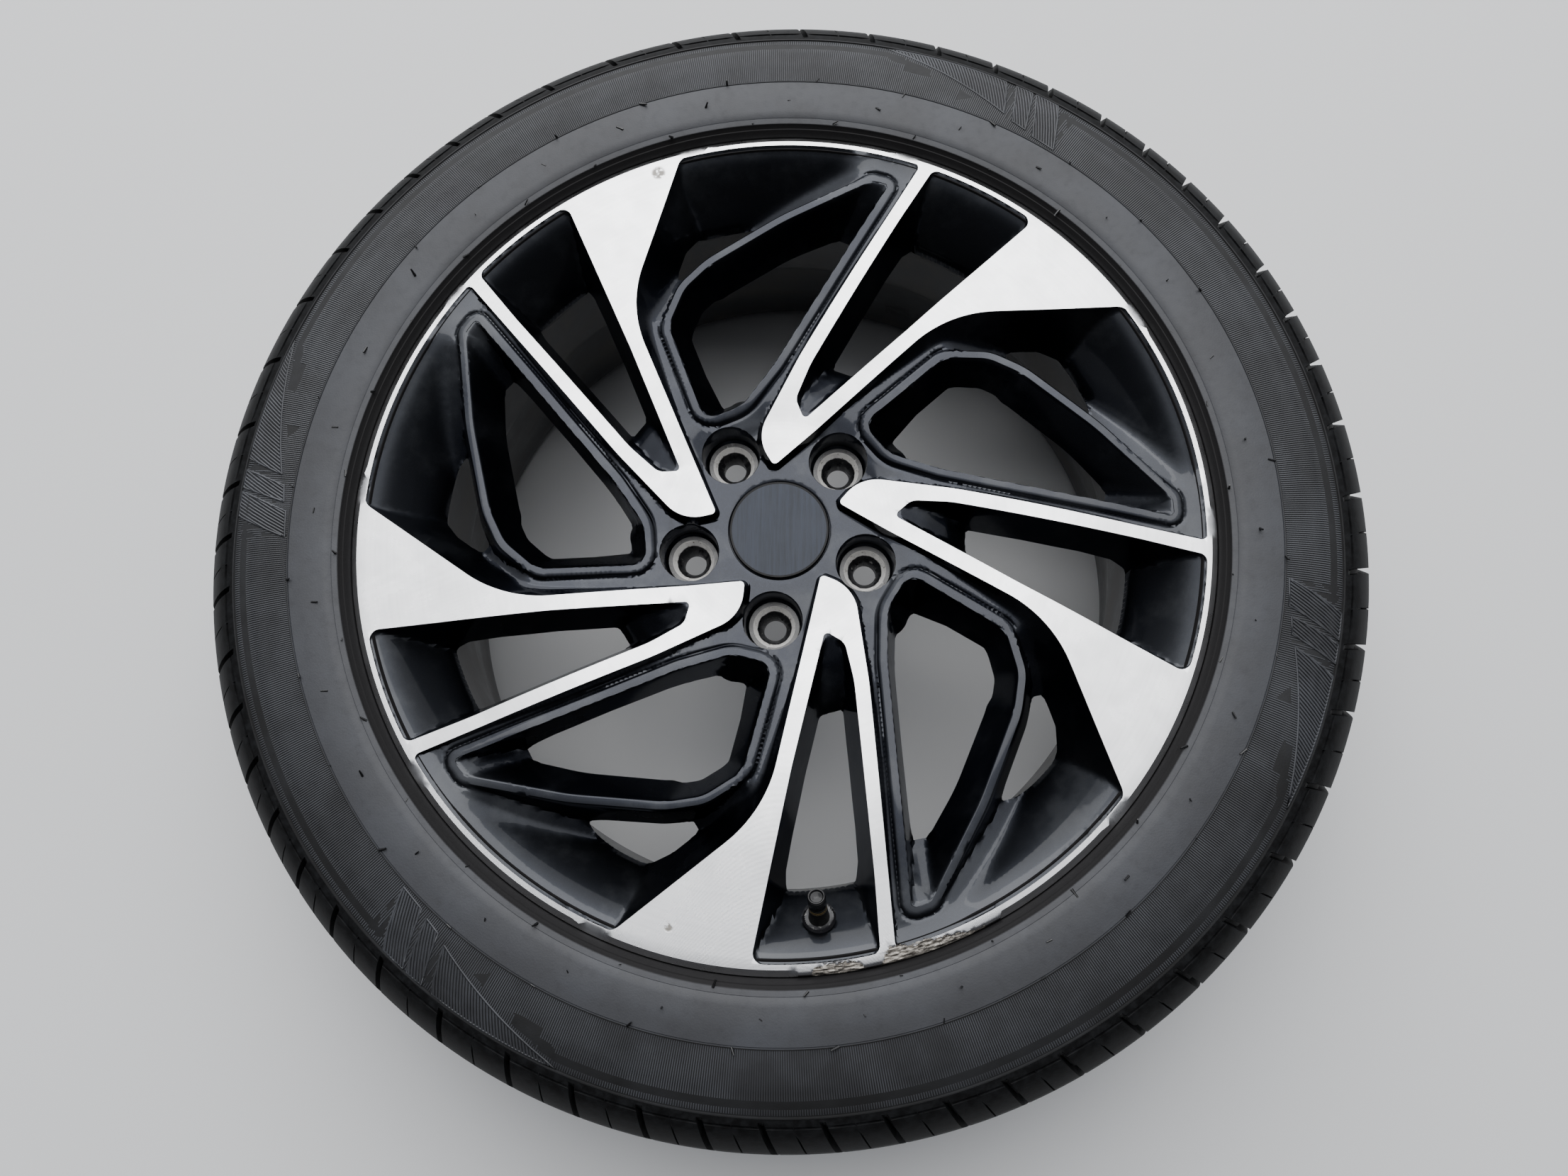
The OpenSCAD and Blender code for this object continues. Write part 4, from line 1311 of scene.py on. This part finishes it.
def buildTyre(s):
    section, outerCount, backCount = tyreSection(s)
    columns = blockColumns(s)
    n = len(columns)
    flat = np.array(section)
    nextOnes = np.roll(flat, -1, 0)
    before = np.roll(flat, 1, 0)
    t = nextOnes - before
    t /= np.linalg.norm(t, axis=1)[:, None]
    inward = np.stack([-t[:, 1], t[:, 0]], 1)
    skin = inward[:outerCount + backCount]
    skin *= np.sign((skin * np.array([-1, 0])).sum(1) + 1e-6)[:, None]
    angle = np.array([c[0] for c in columns])
    cut = np.array([c[1] for c in columns])
    slot = np.array([c[2] for c in columns])
    vertices = np.empty((len(section), n, 3))
    for i, (r, w) in enumerate(section):
        outside = i < outerCount + backCount
        reach = abs(w)
        depth = np.zeros(n)
        lean = 0.0
        if outside and r > 336.5:
            # How far the grooves have leaned by this point of the section
            shoulder = np.clip((r - 337) / 21, 0, 1) if reach > 83 else 1.0
            lean = 1.25 * shoulder + 2.2 * np.clip((84 - reach) / 38, 0, 1)
            if w < 0:
                lean = 3.45 + (3.45 - lean)
        if outside and r > 337.5 and reach > 45.5:
            grow = np.clip((r - 338.4) / 7, 0, 1) if reach > 83 else 1.0
            depth[cut == 1] = s["grooveDepth"] * grow
            if reach < 97:
                depth[cut == 2] = s["sipeDepth"] * np.clip((97 - reach) / 4, 0, 1)
        elif outside and r > 363.5 and reach < 38.5:
            depth[cut == 1] = 4.5
            depth[cut == 2] = 3.0
        if outside and 340.7 < r < 342.1 and reach > 90:
            depth[(slot == 1) & (cut == 0)] = s["slotDepth"]
        radius = r + inward[i, 0] * depth
        across = w + inward[i, 1] * depth
        a = np.radians(angle + lean)
        vertices[i, :, 0] = radius * np.cos(a)
        vertices[i, :, 1] = radius * np.sin(a)
        vertices[i, :, 2] = across + s["middle"]
    index = np.arange(len(section) * n).reshape(len(section), n)
    down = np.roll(index, -1, 0)
    quads = np.stack([index, down, np.roll(down, -1, 1), np.roll(index, -1, 1)], -1).reshape(-1, 4)
    mesh = bpy.data.meshes.new("tyre_rubber")
    mesh.from_pydata((vertices.reshape(-1, 3) * mm).tolist(), [], quads.tolist())
    mesh.update()
    return mesh


def sideHeight(s, r):
    # Height of the outer side at radius r
    side = np.array([p for p in s["outerSide"] if p[0] < 352])
    return np.interp(r, side[:, 0], side[:, 1]) + s["middle"]


def onSide(s, radius, angle):
    return np.stack([radius * np.cos(angle), radius * np.sin(angle), sideHeight(s, radius)], 1)


def clipSpan(shape, a, b, steps=120):
    # The part of a line from a to b that lies inside a shape, as parameters
    t = np.linspace(0, 1, steps)
    p = a + (b - a) * t[:, None]
    inside = insideOf(p, shape)
    if inside.sum() < 3:
        return None
    hit = t[inside]
    return hit[0], hit[-1]


def ribPaths(s):
    # Knurl lines and hatch lines on the outer side, as polylines of points
    shapes = []
    for start, way in s["hatchGroups"]:
        for corners in s["hatchShapes"]:
            corners = [[math.radians(way * d) * s["hatchRadius"], r] for d, r in corners]
            shapes.append((start, way, np.array(corners)))
    knurls = []
    for i in range(s["knurlCount"]):
        degrees = i * 360 / s["knurlCount"]
        spans = [(s["knurlInner"], s["knurlOuter"])]
        for start, way, shape in shapes:
            turn = (degrees - start + 180) % 360 - 180
            if abs(turn) > 26:
                continue
            x = math.radians(turn) * s["hatchRadius"]
            hit = clipSpan(shape, np.array([x, 296.0]), np.array([x, 338.0]))
            if hit is None:
                continue
            low = 296 + 42 * hit[0] - 0.7
            high = 296 + 42 * hit[1] + 0.7
            spans = [piece for a, b in spans for piece in ((a, min(b, low)), (max(a, high), b))
                     if piece[1] - piece[0] > 1.2]
        for a, b in spans:
            n = max(1, int(round((b - a) / 12)))
            r = np.linspace(a, b, n + 1)
            t = math.radians(degrees)
            knurls.append(np.stack([r * math.cos(t), r * math.sin(t), sideHeight(s, r)], 1))
    hatches = []
    for start, way, shape in shapes:
        # Hatch lines lean 30 degrees from the radius
        lean = math.radians(30) * way
        u = np.array([math.sin(lean), math.cos(lean)])
        across = np.array([u[1], -u[0]])
        middle = shape.mean(0)
        reach = np.abs((shape - middle) @ across).max()
        k = -reach
        while k < reach:
            c = middle + across * k
            hit = clipSpan(shape, c - u * 60, c + u * 60, 240)
            k += s["hatchPitch"]
            if hit is None:
                continue
            p = c - u * 60 + u * 120 * np.linspace(hit[0], hit[1], 4)[:, None]
            t = p[:, 0] / s["hatchRadius"] + math.radians(start)
            hatches.append(onSide(s, p[:, 1], t))
    outlines = []
    for start, way, shape in shapes:
        ring = shortSteps(shape, 9, True)
        ring = np.vstack([ring, ring[:1]])
        t = ring[:, 0] / s["hatchRadius"] + math.radians(start)
        outlines.append(onSide(s, ring[:, 1], t))
    return knurls, hatches, outlines


def pathMesh(name, paths):
    points = []
    edges = []
    for path in paths:
        start = len(points)
        points += [tuple(p * mm) for p in path]
        edges += [(start + i, start + i + 1) for i in range(len(path) - 1)]
    mesh = bpy.data.meshes.new(name)
    mesh.from_pydata(points, edges, [])
    return mesh


def socketOf(tree, name):
    for item in tree.interface.items_tree:
        if item.item_type == "SOCKET" and item.in_out == "INPUT" and item.name == name:
            return item.identifier


def runTree(obj, tree, values):
    # Runs a node tree on an object and keeps the result as a plain mesh
    modifier = obj.modifiers.new("build", "NODES")
    modifier.node_group = tree
    for name, value in values.items():
        modifier[socketOf(tree, name)] = value
    bpy.context.view_layer.update()
    graph = bpy.context.evaluated_depsgraph_get()
    mesh = bpy.data.meshes.new_from_object(obj.evaluated_get(graph))
    old = obj.data
    obj.modifiers.clear()
    obj.data = mesh
    bpy.data.meshes.remove(old)
    return mesh


def newTree(name, floats):
    tree = bpy.data.node_groups.new(name, "GeometryNodeTree")
    tree.interface.new_socket("Geometry", in_out="INPUT", socket_type="NodeSocketGeometry")
    for label, value in floats:
        kind = "NodeSocketInt" if isinstance(value, int) else "NodeSocketFloat"
        tree.interface.new_socket(label, in_out="INPUT", socket_type=kind).default_value = value
    tree.interface.new_socket("Material", in_out="INPUT", socket_type="NodeSocketMaterial")
    tree.interface.new_socket("Geometry", in_out="OUTPUT", socket_type="NodeSocketGeometry")
    return tree, tree.nodes, tree.links, tree.nodes.new("NodeGroupInput"), tree.nodes.new("NodeGroupOutput")


def makeRibTree():
    # Sweeps a small three-sided bead along every line of the input mesh
    tree, nodes, links, first, last = newTree("moulded_ribs", [("Rib size", 0.0004)])
    toCurve = nodes.new("GeometryNodeMeshToCurve")
    upright = nodes.new("GeometryNodeSetCurveNormal")
    upright.mode = "Z_UP"
    ring = nodes.new("GeometryNodeCurvePrimitiveCircle")
    ring.inputs["Resolution"].default_value = 3
    turn = nodes.new("GeometryNodeTransform")
    turn.inputs["Rotation"].default_value = (0, 0, math.radians(90))
    sweep = nodes.new("GeometryNodeCurveToMesh")
    sweep.inputs["Fill Caps"].default_value = True
    real = nodes.new("GeometryNodeRealizeInstances")
    paint = nodes.new("GeometryNodeSetMaterial")
    links.new(first.outputs["Geometry"], toCurve.inputs["Mesh"])
    links.new(toCurve.outputs["Curve"], upright.inputs["Curve"])
    links.new(upright.outputs["Curve"], sweep.inputs["Curve"])
    links.new(first.outputs["Rib size"], ring.inputs["Radius"])
    links.new(ring.outputs["Curve"], turn.inputs["Geometry"])
    links.new(turn.outputs["Geometry"], sweep.inputs["Profile Curve"])
    links.new(sweep.outputs["Mesh"], real.inputs["Geometry"])
    links.new(real.outputs["Geometry"], paint.inputs["Geometry"])
    links.new(first.outputs["Material"], paint.inputs["Material"])
    links.new(paint.outputs["Geometry"], last.inputs["Geometry"])
    return tree


def makeNubTree():
    # Moulding nubs on the points of the input mesh, each leaning its own way
    tree, nodes, links, first, last = newTree(
        "vent_nubs", [("Nub length", 0.0026), ("Nub radius", 0.0005), ("Seed", 7)])
    cone = nodes.new("GeometryNodeMeshCone")
    cone.inputs["Vertices"].default_value = 7
    cone.inputs["Fill Segments"].default_value = 1
    place = nodes.new("GeometryNodeInstanceOnPoints")
    lean = nodes.new("FunctionNodeRandomValue")
    lean.data_type = "FLOAT_VECTOR"
    lean.inputs[0].default_value = (-1.5, -1.5, 0.0)
    lean.inputs[1].default_value = (1.5, 1.5, 6.28)
    grow = nodes.new("FunctionNodeRandomValue")
    grow.inputs[2].default_value = 0.35
    grow.inputs[3].default_value = 1.25
    thin = nodes.new("ShaderNodeMath")
    thin.operation = "MULTIPLY"
    thin.inputs[1].default_value = 0.6
    real = nodes.new("GeometryNodeRealizeInstances")
    paint = nodes.new("GeometryNodeSetMaterial")
    links.new(first.outputs["Nub length"], cone.inputs["Depth"])
    links.new(first.outputs["Nub radius"], cone.inputs["Radius Bottom"])
    links.new(first.outputs["Nub radius"], thin.inputs[0])
    links.new(thin.outputs[0], cone.inputs["Radius Top"])
    for node in (lean, grow):
        links.new(first.outputs["Seed"], node.inputs["Seed"])
    links.new(first.outputs["Geometry"], place.inputs["Points"])
    links.new(cone.outputs["Mesh"], place.inputs["Instance"])
    links.new(lean.outputs[0], place.inputs["Rotation"])
    links.new(grow.outputs[1], place.inputs["Scale"])
    links.new(place.outputs["Instances"], real.inputs["Geometry"])
    links.new(real.outputs["Geometry"], paint.inputs["Geometry"])
    links.new(first.outputs["Material"], paint.inputs["Material"])
    links.new(paint.outputs["Geometry"], last.inputs["Geometry"])
    return tree


def sceneObject(name, mesh):
    obj = bpy.data.objects.new(name, mesh)
    bpy.context.scene.collection.objects.link(obj)
    return obj


def makeTyreRubber(s):
    m, nodes, links, shader, place = newMaterial("tyre_rubber_outside")
    r = placeGroup(nodes, links, roundPlace, {"Place": place})["Radius"]
    smooth, cloud = blotchNode(nodes, links, place, (22, 4, 0.6), (0.3, 0.75),
                               s["smoothLow"], s["smoothHigh"])
    blot = noiseNode(nodes, links, place, 190, 5, 0.6)
    grain = noiseNode(nodes, links, place, 900, 2, 0.5)
    # Zones by radius: black foot beside the rim, grey smooth band, knurled band painted dark as the shade
    # between its ribs, tread
    foot = rangeNode(nodes, links, r, 0.2682, 0.2694, 1.0, 0.0)
    band = rangeNode(nodes, links, r, 0.2987, 0.2995)
    tread = rangeNode(nodes, links, r, 0.3360, 0.3372)
    blots = rangeNode(nodes, links, blot, 0.5, 0.78, 0.0, 0.3)
    smooth = mixColour(nodes, links, blots, smooth, s["smoothBlots"])
    # Painted shade: the knurled band's ground is much darker than the same rubber elsewhere, for the shade
    # between its ribs
    clouds = rangeNode(nodes, links, cloud, 0.38, 0.66)
    knurlShade = mixColour(nodes, links, clouds, s["knurlShadeLow"], s["knurlShadeHigh"])
    worn = mixColour(nodes, links, rangeNode(nodes, links, blot, 0.35, 0.7), s["treadLow"], s["treadHigh"])
    colour = mixColour(nodes, links, band, smooth, knurlShade)
    colour = mixColour(nodes, links, tread, colour, worn)
    links.new(mixColour(nodes, links, foot, colour, s["footColour"]), shader.inputs["Base Color"])
    rough = mixColour(nodes, links, band, (0.50, 0.50, 0.50), (0.62, 0.62, 0.62))
    rough = mixColour(nodes, links, tread, rough, (0.52, 0.52, 0.52))
    rough = mixColour(nodes, links, foot, rough, (0.5, 0.5, 0.5))
    dull = mathNode(nodes, links, "MAXIMUM", foot, tread)
    shine = mathNode(nodes, links, "MULTIPLY_ADD", dull, -0.34, 0.46)
    links.new(shine, shader.inputs["Specular IOR Level"])
    links.new(mathNode(nodes, links, "MULTIPLY_ADD", blot, 0.12, rough), shader.inputs["Roughness"])
    height = mathNode(nodes, links, "MULTIPLY_ADD", cloud, 2.0, grain)
    links.new(bumpNode(nodes, links, height, 0.35, 0.0002), shader.inputs["Normal"])
    return m


def makeRaisedRubber(name, low, high, roughness):
    m, nodes, links, shader, place = newMaterial(name)
    colour = blotchNode(nodes, links, place, (26, 4, 0.6), (0.35, 0.68), low, high)[0]
    grain, normal = grainNode(nodes, links, place, (1100, 2, 0.5), 0.25, 0.0001)
    links.new(colour, shader.inputs["Base Color"])
    rough = rangeNode(nodes, links, grain, 0.3, 0.7, roughness - 0.06, roughness + 0.06)
    links.new(rough, shader.inputs["Roughness"])
    links.new(normal, shader.inputs["Normal"])
    return m


rubberSettings = {
    "smoothLow": (0.035, 0.036, 0.0405),
    "smoothHigh": (0.047, 0.0495, 0.057),
    "smoothBlots": (0.020, 0.020, 0.023),
    # Painted shade: the knurled band's colours are darkened to stand in for the shade between its ribs
    "knurlShadeLow": (0.006, 0.006, 0.0065),
    "knurlShadeHigh": (0.0125, 0.013, 0.0145),
    "treadLow": (0.0035, 0.0035, 0.0038),
    "treadHigh": (0.010, 0.0105, 0.0115),
    "footColour": (0.012, 0.0115, 0.012),
}
tyreRubber = makeTyreRubber(rubberSettings)
ribRubber = makeRaisedRubber("rib_rubber", (0.040, 0.041, 0.045), (0.066, 0.069, 0.077), 0.42)
nubRubber = makeRaisedRubber("nub_rubber", (0.004, 0.004, 0.0045), (0.009, 0.009, 0.01), 0.3)
tyreMesh = buildTyre(tyreSettings)
tyreOpen = finishMesh(tyreMesh, 1e-7, 34.0)
tyre = addObject("tyre_rubber", tyreMesh, "wheel_assembly", [tyreRubber], ["tyre"])
print("tyre built, triangles:", 2 * len(tyreMesh.polygons), "open edges:", tyreOpen)

knurls, hatches, outlines = ribPaths(tyreSettings)
ribTree = makeRibTree()
for name, paths, size in (("sidewall_knurl", knurls, "ribSize"),
                          ("sidewall_hatching", hatches + outlines, "hatchSize")):
    ribs = sceneObject(name, pathMesh(name, paths))
    ribMesh = runTree(ribs, ribTree, {"Rib size": tyreSettings[size] * mm, "Material": ribRubber})
    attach(ribs, "wheel_assembly")
    print(name, "triangles:", sum(len(p.vertices) - 2 for p in ribMesh.polygons))

nubPoints = []
for row, (radius, count) in enumerate(tyreSettings["nubRows"]):
    for i in range(count):
        t = 2 * math.pi * (i + (0.37, 0.9, 0.62)[row]) / count
        nubPoints.append((radius * math.cos(t) * mm, radius * math.sin(t) * mm,
                          float(sideHeight(tyreSettings, radius)) * mm - 0.0002))
nubMesh = bpy.data.meshes.new("vent_nubs")
nubMesh.from_pydata(nubPoints, [], [])
nubs = sceneObject("vent_nubs", nubMesh)
runTree(nubs, makeNubTree(), {"Nub length": 0.0044, "Nub radius": 0.0008, "Seed": 7, "Material": nubRubber})
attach(nubs, "wheel_assembly")
print("sidewall details built")


# Cap, valve and the pieces inside them
def makeTurned(name, colour, roughness, metallic, pitch, spots=0.12):
    # Turned or drawn metal: fine rings, worn colour and small spots
    m, nodes, links, shader, place = newMaterial(name)
    wave = nodes.new("ShaderNodeTexWave")
    wave.bands_direction = "Z"
    wave.inputs["Scale"].default_value = pitch
    wave.inputs["Distortion"].default_value = 1.0
    links.new(place, wave.inputs["Vector"])
    dark = tuple(c * 0.55 for c in colour)
    base, wear = blotchNode(nodes, links, place, (900, 4, 0.6), (0.5, 0.75), colour, dark)
    links.new(base, shader.inputs["Base Color"])
    shader.inputs["Metallic"].default_value = metallic
    rough = rangeNode(nodes, links, wear, 0.3, 0.7, roughness - spots, roughness + spots)
    links.new(rough, shader.inputs["Roughness"])
    links.new(bumpNode(nodes, links, wave.outputs["Fac"], 0.2, 0.00003), shader.inputs["Normal"])
    return m


def makeMoulded(name, colour, roughness, scale=700, shine=0.5):
    # Moulded plastic or rubber: a fine grain, slight blotches and a change of gloss
    m, nodes, links, shader, place = newMaterial(name)
    grain, normal = grainNode(nodes, links, place, (scale, 3, 0.55), 0.2, 0.0001)
    light = tuple(min(1, c * 1.9 + 0.004) for c in colour)
    shader.inputs["Specular IOR Level"].default_value = shine
    base = blotchNode(nodes, links, place, (scale / 12, 3, 0.5), (0.4, 0.75), colour, light)[0]
    links.new(base, shader.inputs["Base Color"])
    rough = rangeNode(nodes, links, grain, 0.3, 0.7, roughness - 0.05, roughness + 0.08)
    links.new(rough, shader.inputs["Roughness"])
    links.new(normal, shader.inputs["Normal"])
    return m


def makeBrushedDisc():
    # Slate blue disc, brushed from top to bottom
    m, nodes, links, shader, place = newMaterial("brushed_slate")
    stretch = nodes.new("ShaderNodeMapping")
    stretch.inputs["Scale"].default_value = (1, 0.035, 1)
    links.new(place, stretch.inputs["Vector"])
    brushed = stretch.outputs["Vector"]
    line, normal = grainNode(nodes, links, brushed, (2200, 4, 0.7), 0.25, 0.00005)
    broad = noiseNode(nodes, links, brushed, 500, 3, 0.6)
    cloud = noiseNode(nodes, links, place, 60, 3, 0.5)
    both = rangeNode(nodes, links, mathNode(nodes, links, "MULTIPLY_ADD", broad, 0.6, line), 0.6, 1.0)
    colour = mixColour(nodes, links, both, (0.005, 0.0068, 0.0112), (0.0125, 0.0165, 0.026))
    clouds = rangeNode(nodes, links, cloud, 0.4, 0.7, 0.0, 0.25)
    links.new(mixColour(nodes, links, clouds, colour, (0.016, 0.0195, 0.027)), shader.inputs["Base Color"])
    shader.inputs["Metallic"].default_value = 0.8
    links.new(rangeNode(nodes, links, line, 0.3, 0.7, 0.34, 0.46), shader.inputs["Roughness"])
    shader.inputs["Coat Weight"].default_value = 0.25
    shader.inputs["Coat Roughness"].default_value = 0.1
    links.new(normal, shader.inputs["Normal"])
    return m


nodeFinishes = {
    "centre_cap": makeMoulded("cap_gloss_black", (0.003, 0.003, 0.0035), 0.2, 400, 0.14),
    "cap_disc": makeBrushedDisc(),
    "cap_spring_ring": makeTurned("drawn_spring_steel", (0.56, 0.56, 0.57), 0.28, 1.0, 900),
    "valve_rubber": makeMoulded("valve_rubber_black", (0.006, 0.006, 0.006), 0.42, 900, 0.25),
    "valve_stem": makeTurned("turned_brass", (0.78, 0.56, 0.24), 0.26, 1.0, 700),
    "core_body": makeTurned("core_brass_turned", (0.68, 0.51, 0.26), 0.3, 1.0, 1400),
    "core_seal": makeMoulded("core_seal_red", (0.30, 0.035, 0.025), 0.5, 1500),
    "core_pin": makeTurned("pin_brass_drawn", (0.74, 0.55, 0.28), 0.22, 1.0, 2000),
    "pin_seal": makeMoulded("pin_seal_black", (0.018, 0.018, 0.02), 0.5, 1500),
    "core_spring": makeTurned("spring_wire", (0.5, 0.5, 0.51), 0.25, 1.0, 2500),
    "valve_cap_seal": makeMoulded("cap_seal_black", (0.02, 0.02, 0.022), 0.55, 1500),
}
for node, finish in nodeFinishes.items():
    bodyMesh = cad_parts[node].data
    if len(bodyMesh.materials) == 0:
        bodyMesh.materials.append(finish)
    for i in range(len(bodyMesh.materials)):
        bodyMesh.materials[i] = finish

valveCapSettings = {
    # [radius, distance along the valve's axis], from the cavity round the outside to the top's middle
    "cavity": [[0, 31.66], [3.95, 31.66], [3.95, 22.4], [4.25, 21.95]],
    "skirt": [[4.7, 21.9], [5.1, 22.0], [5.22, 22.4], [5.22, 23.3], [4.85, 23.6]],
    "grip": [[4.9, 23.9], [4.98, 24.4], [4.98, 28.6], [4.9, 29.1]],
    "top": [[4.85, 29.5], [5.2, 29.9], [5.24, 30.6], [5.2, 31.4], [4.95, 31.75], [4.62, 31.9], [4.6, 32.15],
            [4.85, 32.4], [4.9, 33.0], [4.7, 33.4], [4.3, 33.5], [3.95, 33.35], [3.7, 32.9], [3.4, 32.55],
            [2.9, 32.6],
            [2.0, 32.85], [1.0, 32.98], [0, 33.0]],
    "steps": 144,
    "grips": 36,
    "gripDepth": 0.26,
}


def buildValveCap(s, foot, axis):
    profile = s["cavity"] + s["skirt"] + s["grip"] + s["top"]
    gripFrom = len(s["cavity"]) + len(s["skirt"])
    gripTo = gripFrom + len(s["grip"])
    u = Vector(axis)
    side = u.cross(Vector((0, 0, 1))).normalized()
    other = u.cross(side)
    vertices = []
    faces = []
    n = s["steps"]
    for i, (r, along) in enumerate(profile):
        for j in range(n):
            t = 2 * math.pi * j / n
            radius = r
            if gripFrom <= i < gripTo:
                radius += s["gripDepth"] * (0.5 + 0.5 * math.cos(s["grips"] * t)) ** 0.6
            p = Vector(foot) + u * along + (side * math.cos(t) + other * math.sin(t)) * radius
            vertices.append(p * mm)
    for i in range(len(profile) - 1):
        for j in range(n):
            k = (j + 1) % n
            faces.append((i * n + j, i * n + k, (i + 1) * n + k, (i + 1) * n + j))
    mesh = bpy.data.meshes.new("valve_screw_cap")
    mesh.from_pydata(vertices, [], faces)
    finishMesh(mesh, 1e-7, 40.0)
    return mesh


capPlastic = makeMoulded("valve_cap_gloss", (0.004, 0.004, 0.0045), 0.16, 1200, 0.3)
valveCapMesh = buildValveCap(valveCapSettings, wheelSettings["valveFoot"], wheelSettings["valveAxis"])
addObject("valve_screw_cap", valveCapMesh, "screw_cap", [capPlastic], ["valve_cap"])
print("cap and valve built")


def makeFloor():
    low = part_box("tyre")[0][2]
    bpy.ops.mesh.primitive_plane_add(size=8, location=(0, 0, low - 0.0005))
    floor = bpy.context.object
    floor.name = "floor"
    m, _, _, shader, _ = newMaterial("floor_pale")
    shader.inputs["Base Color"].default_value = (0.80, 0.805, 0.81, 1)
    shader.inputs["Roughness"].default_value = 0.85
    floor.data.materials.append(m)


lightSettings = {
    "skyTop": (1.0, 1.02, 1.06),
    "skyLow": (0.035, 0.036, 0.040),
    "skyStrength": 1.42,
    # name, place, size, power
    "lamps": [("overhead", (0.05, 1.25, 2.4), 2.4, 60), ("back", (-0.8, 2.7, 1.3), 2.2, 30)],
}


def makeLights(s):
    world = bpy.data.worlds.new("studio")
    bpy.context.scene.world = world
    world.use_nodes = True
    nodes = world.node_tree.nodes
    links = world.node_tree.links
    # The sky is brightest overhead and towards the top of the picture
    place = nodes.new("ShaderNodeTexCoord").outputs["Generated"]
    split = nodes.new("ShaderNodeSeparateXYZ")
    links.new(place, split.inputs[0])
    up = mathNode(nodes, links, "MULTIPLY_ADD", split.outputs[1], 0.9, split.outputs[2])
    sky = mixColour(nodes, links, rangeNode(nodes, links, up, 0.45, 1.2), s["skyLow"], s["skyTop"])
    background = nodes["Background"]
    links.new(sky, background.inputs["Color"])
    background.inputs["Strength"].default_value = s["skyStrength"]
    for name, place, size, power in s["lamps"]:
        data = bpy.data.lights.new(name, "AREA")
        data.size = size
        data.energy = power
        light = bpy.data.objects.new(name, data)
        bpy.context.scene.collection.objects.link(light)
        light.location = place
        light.rotation_euler = (-Vector(place)).to_track_quat("-Z", "Y").to_euler()


makeFloor()
makeLights(lightSettings)
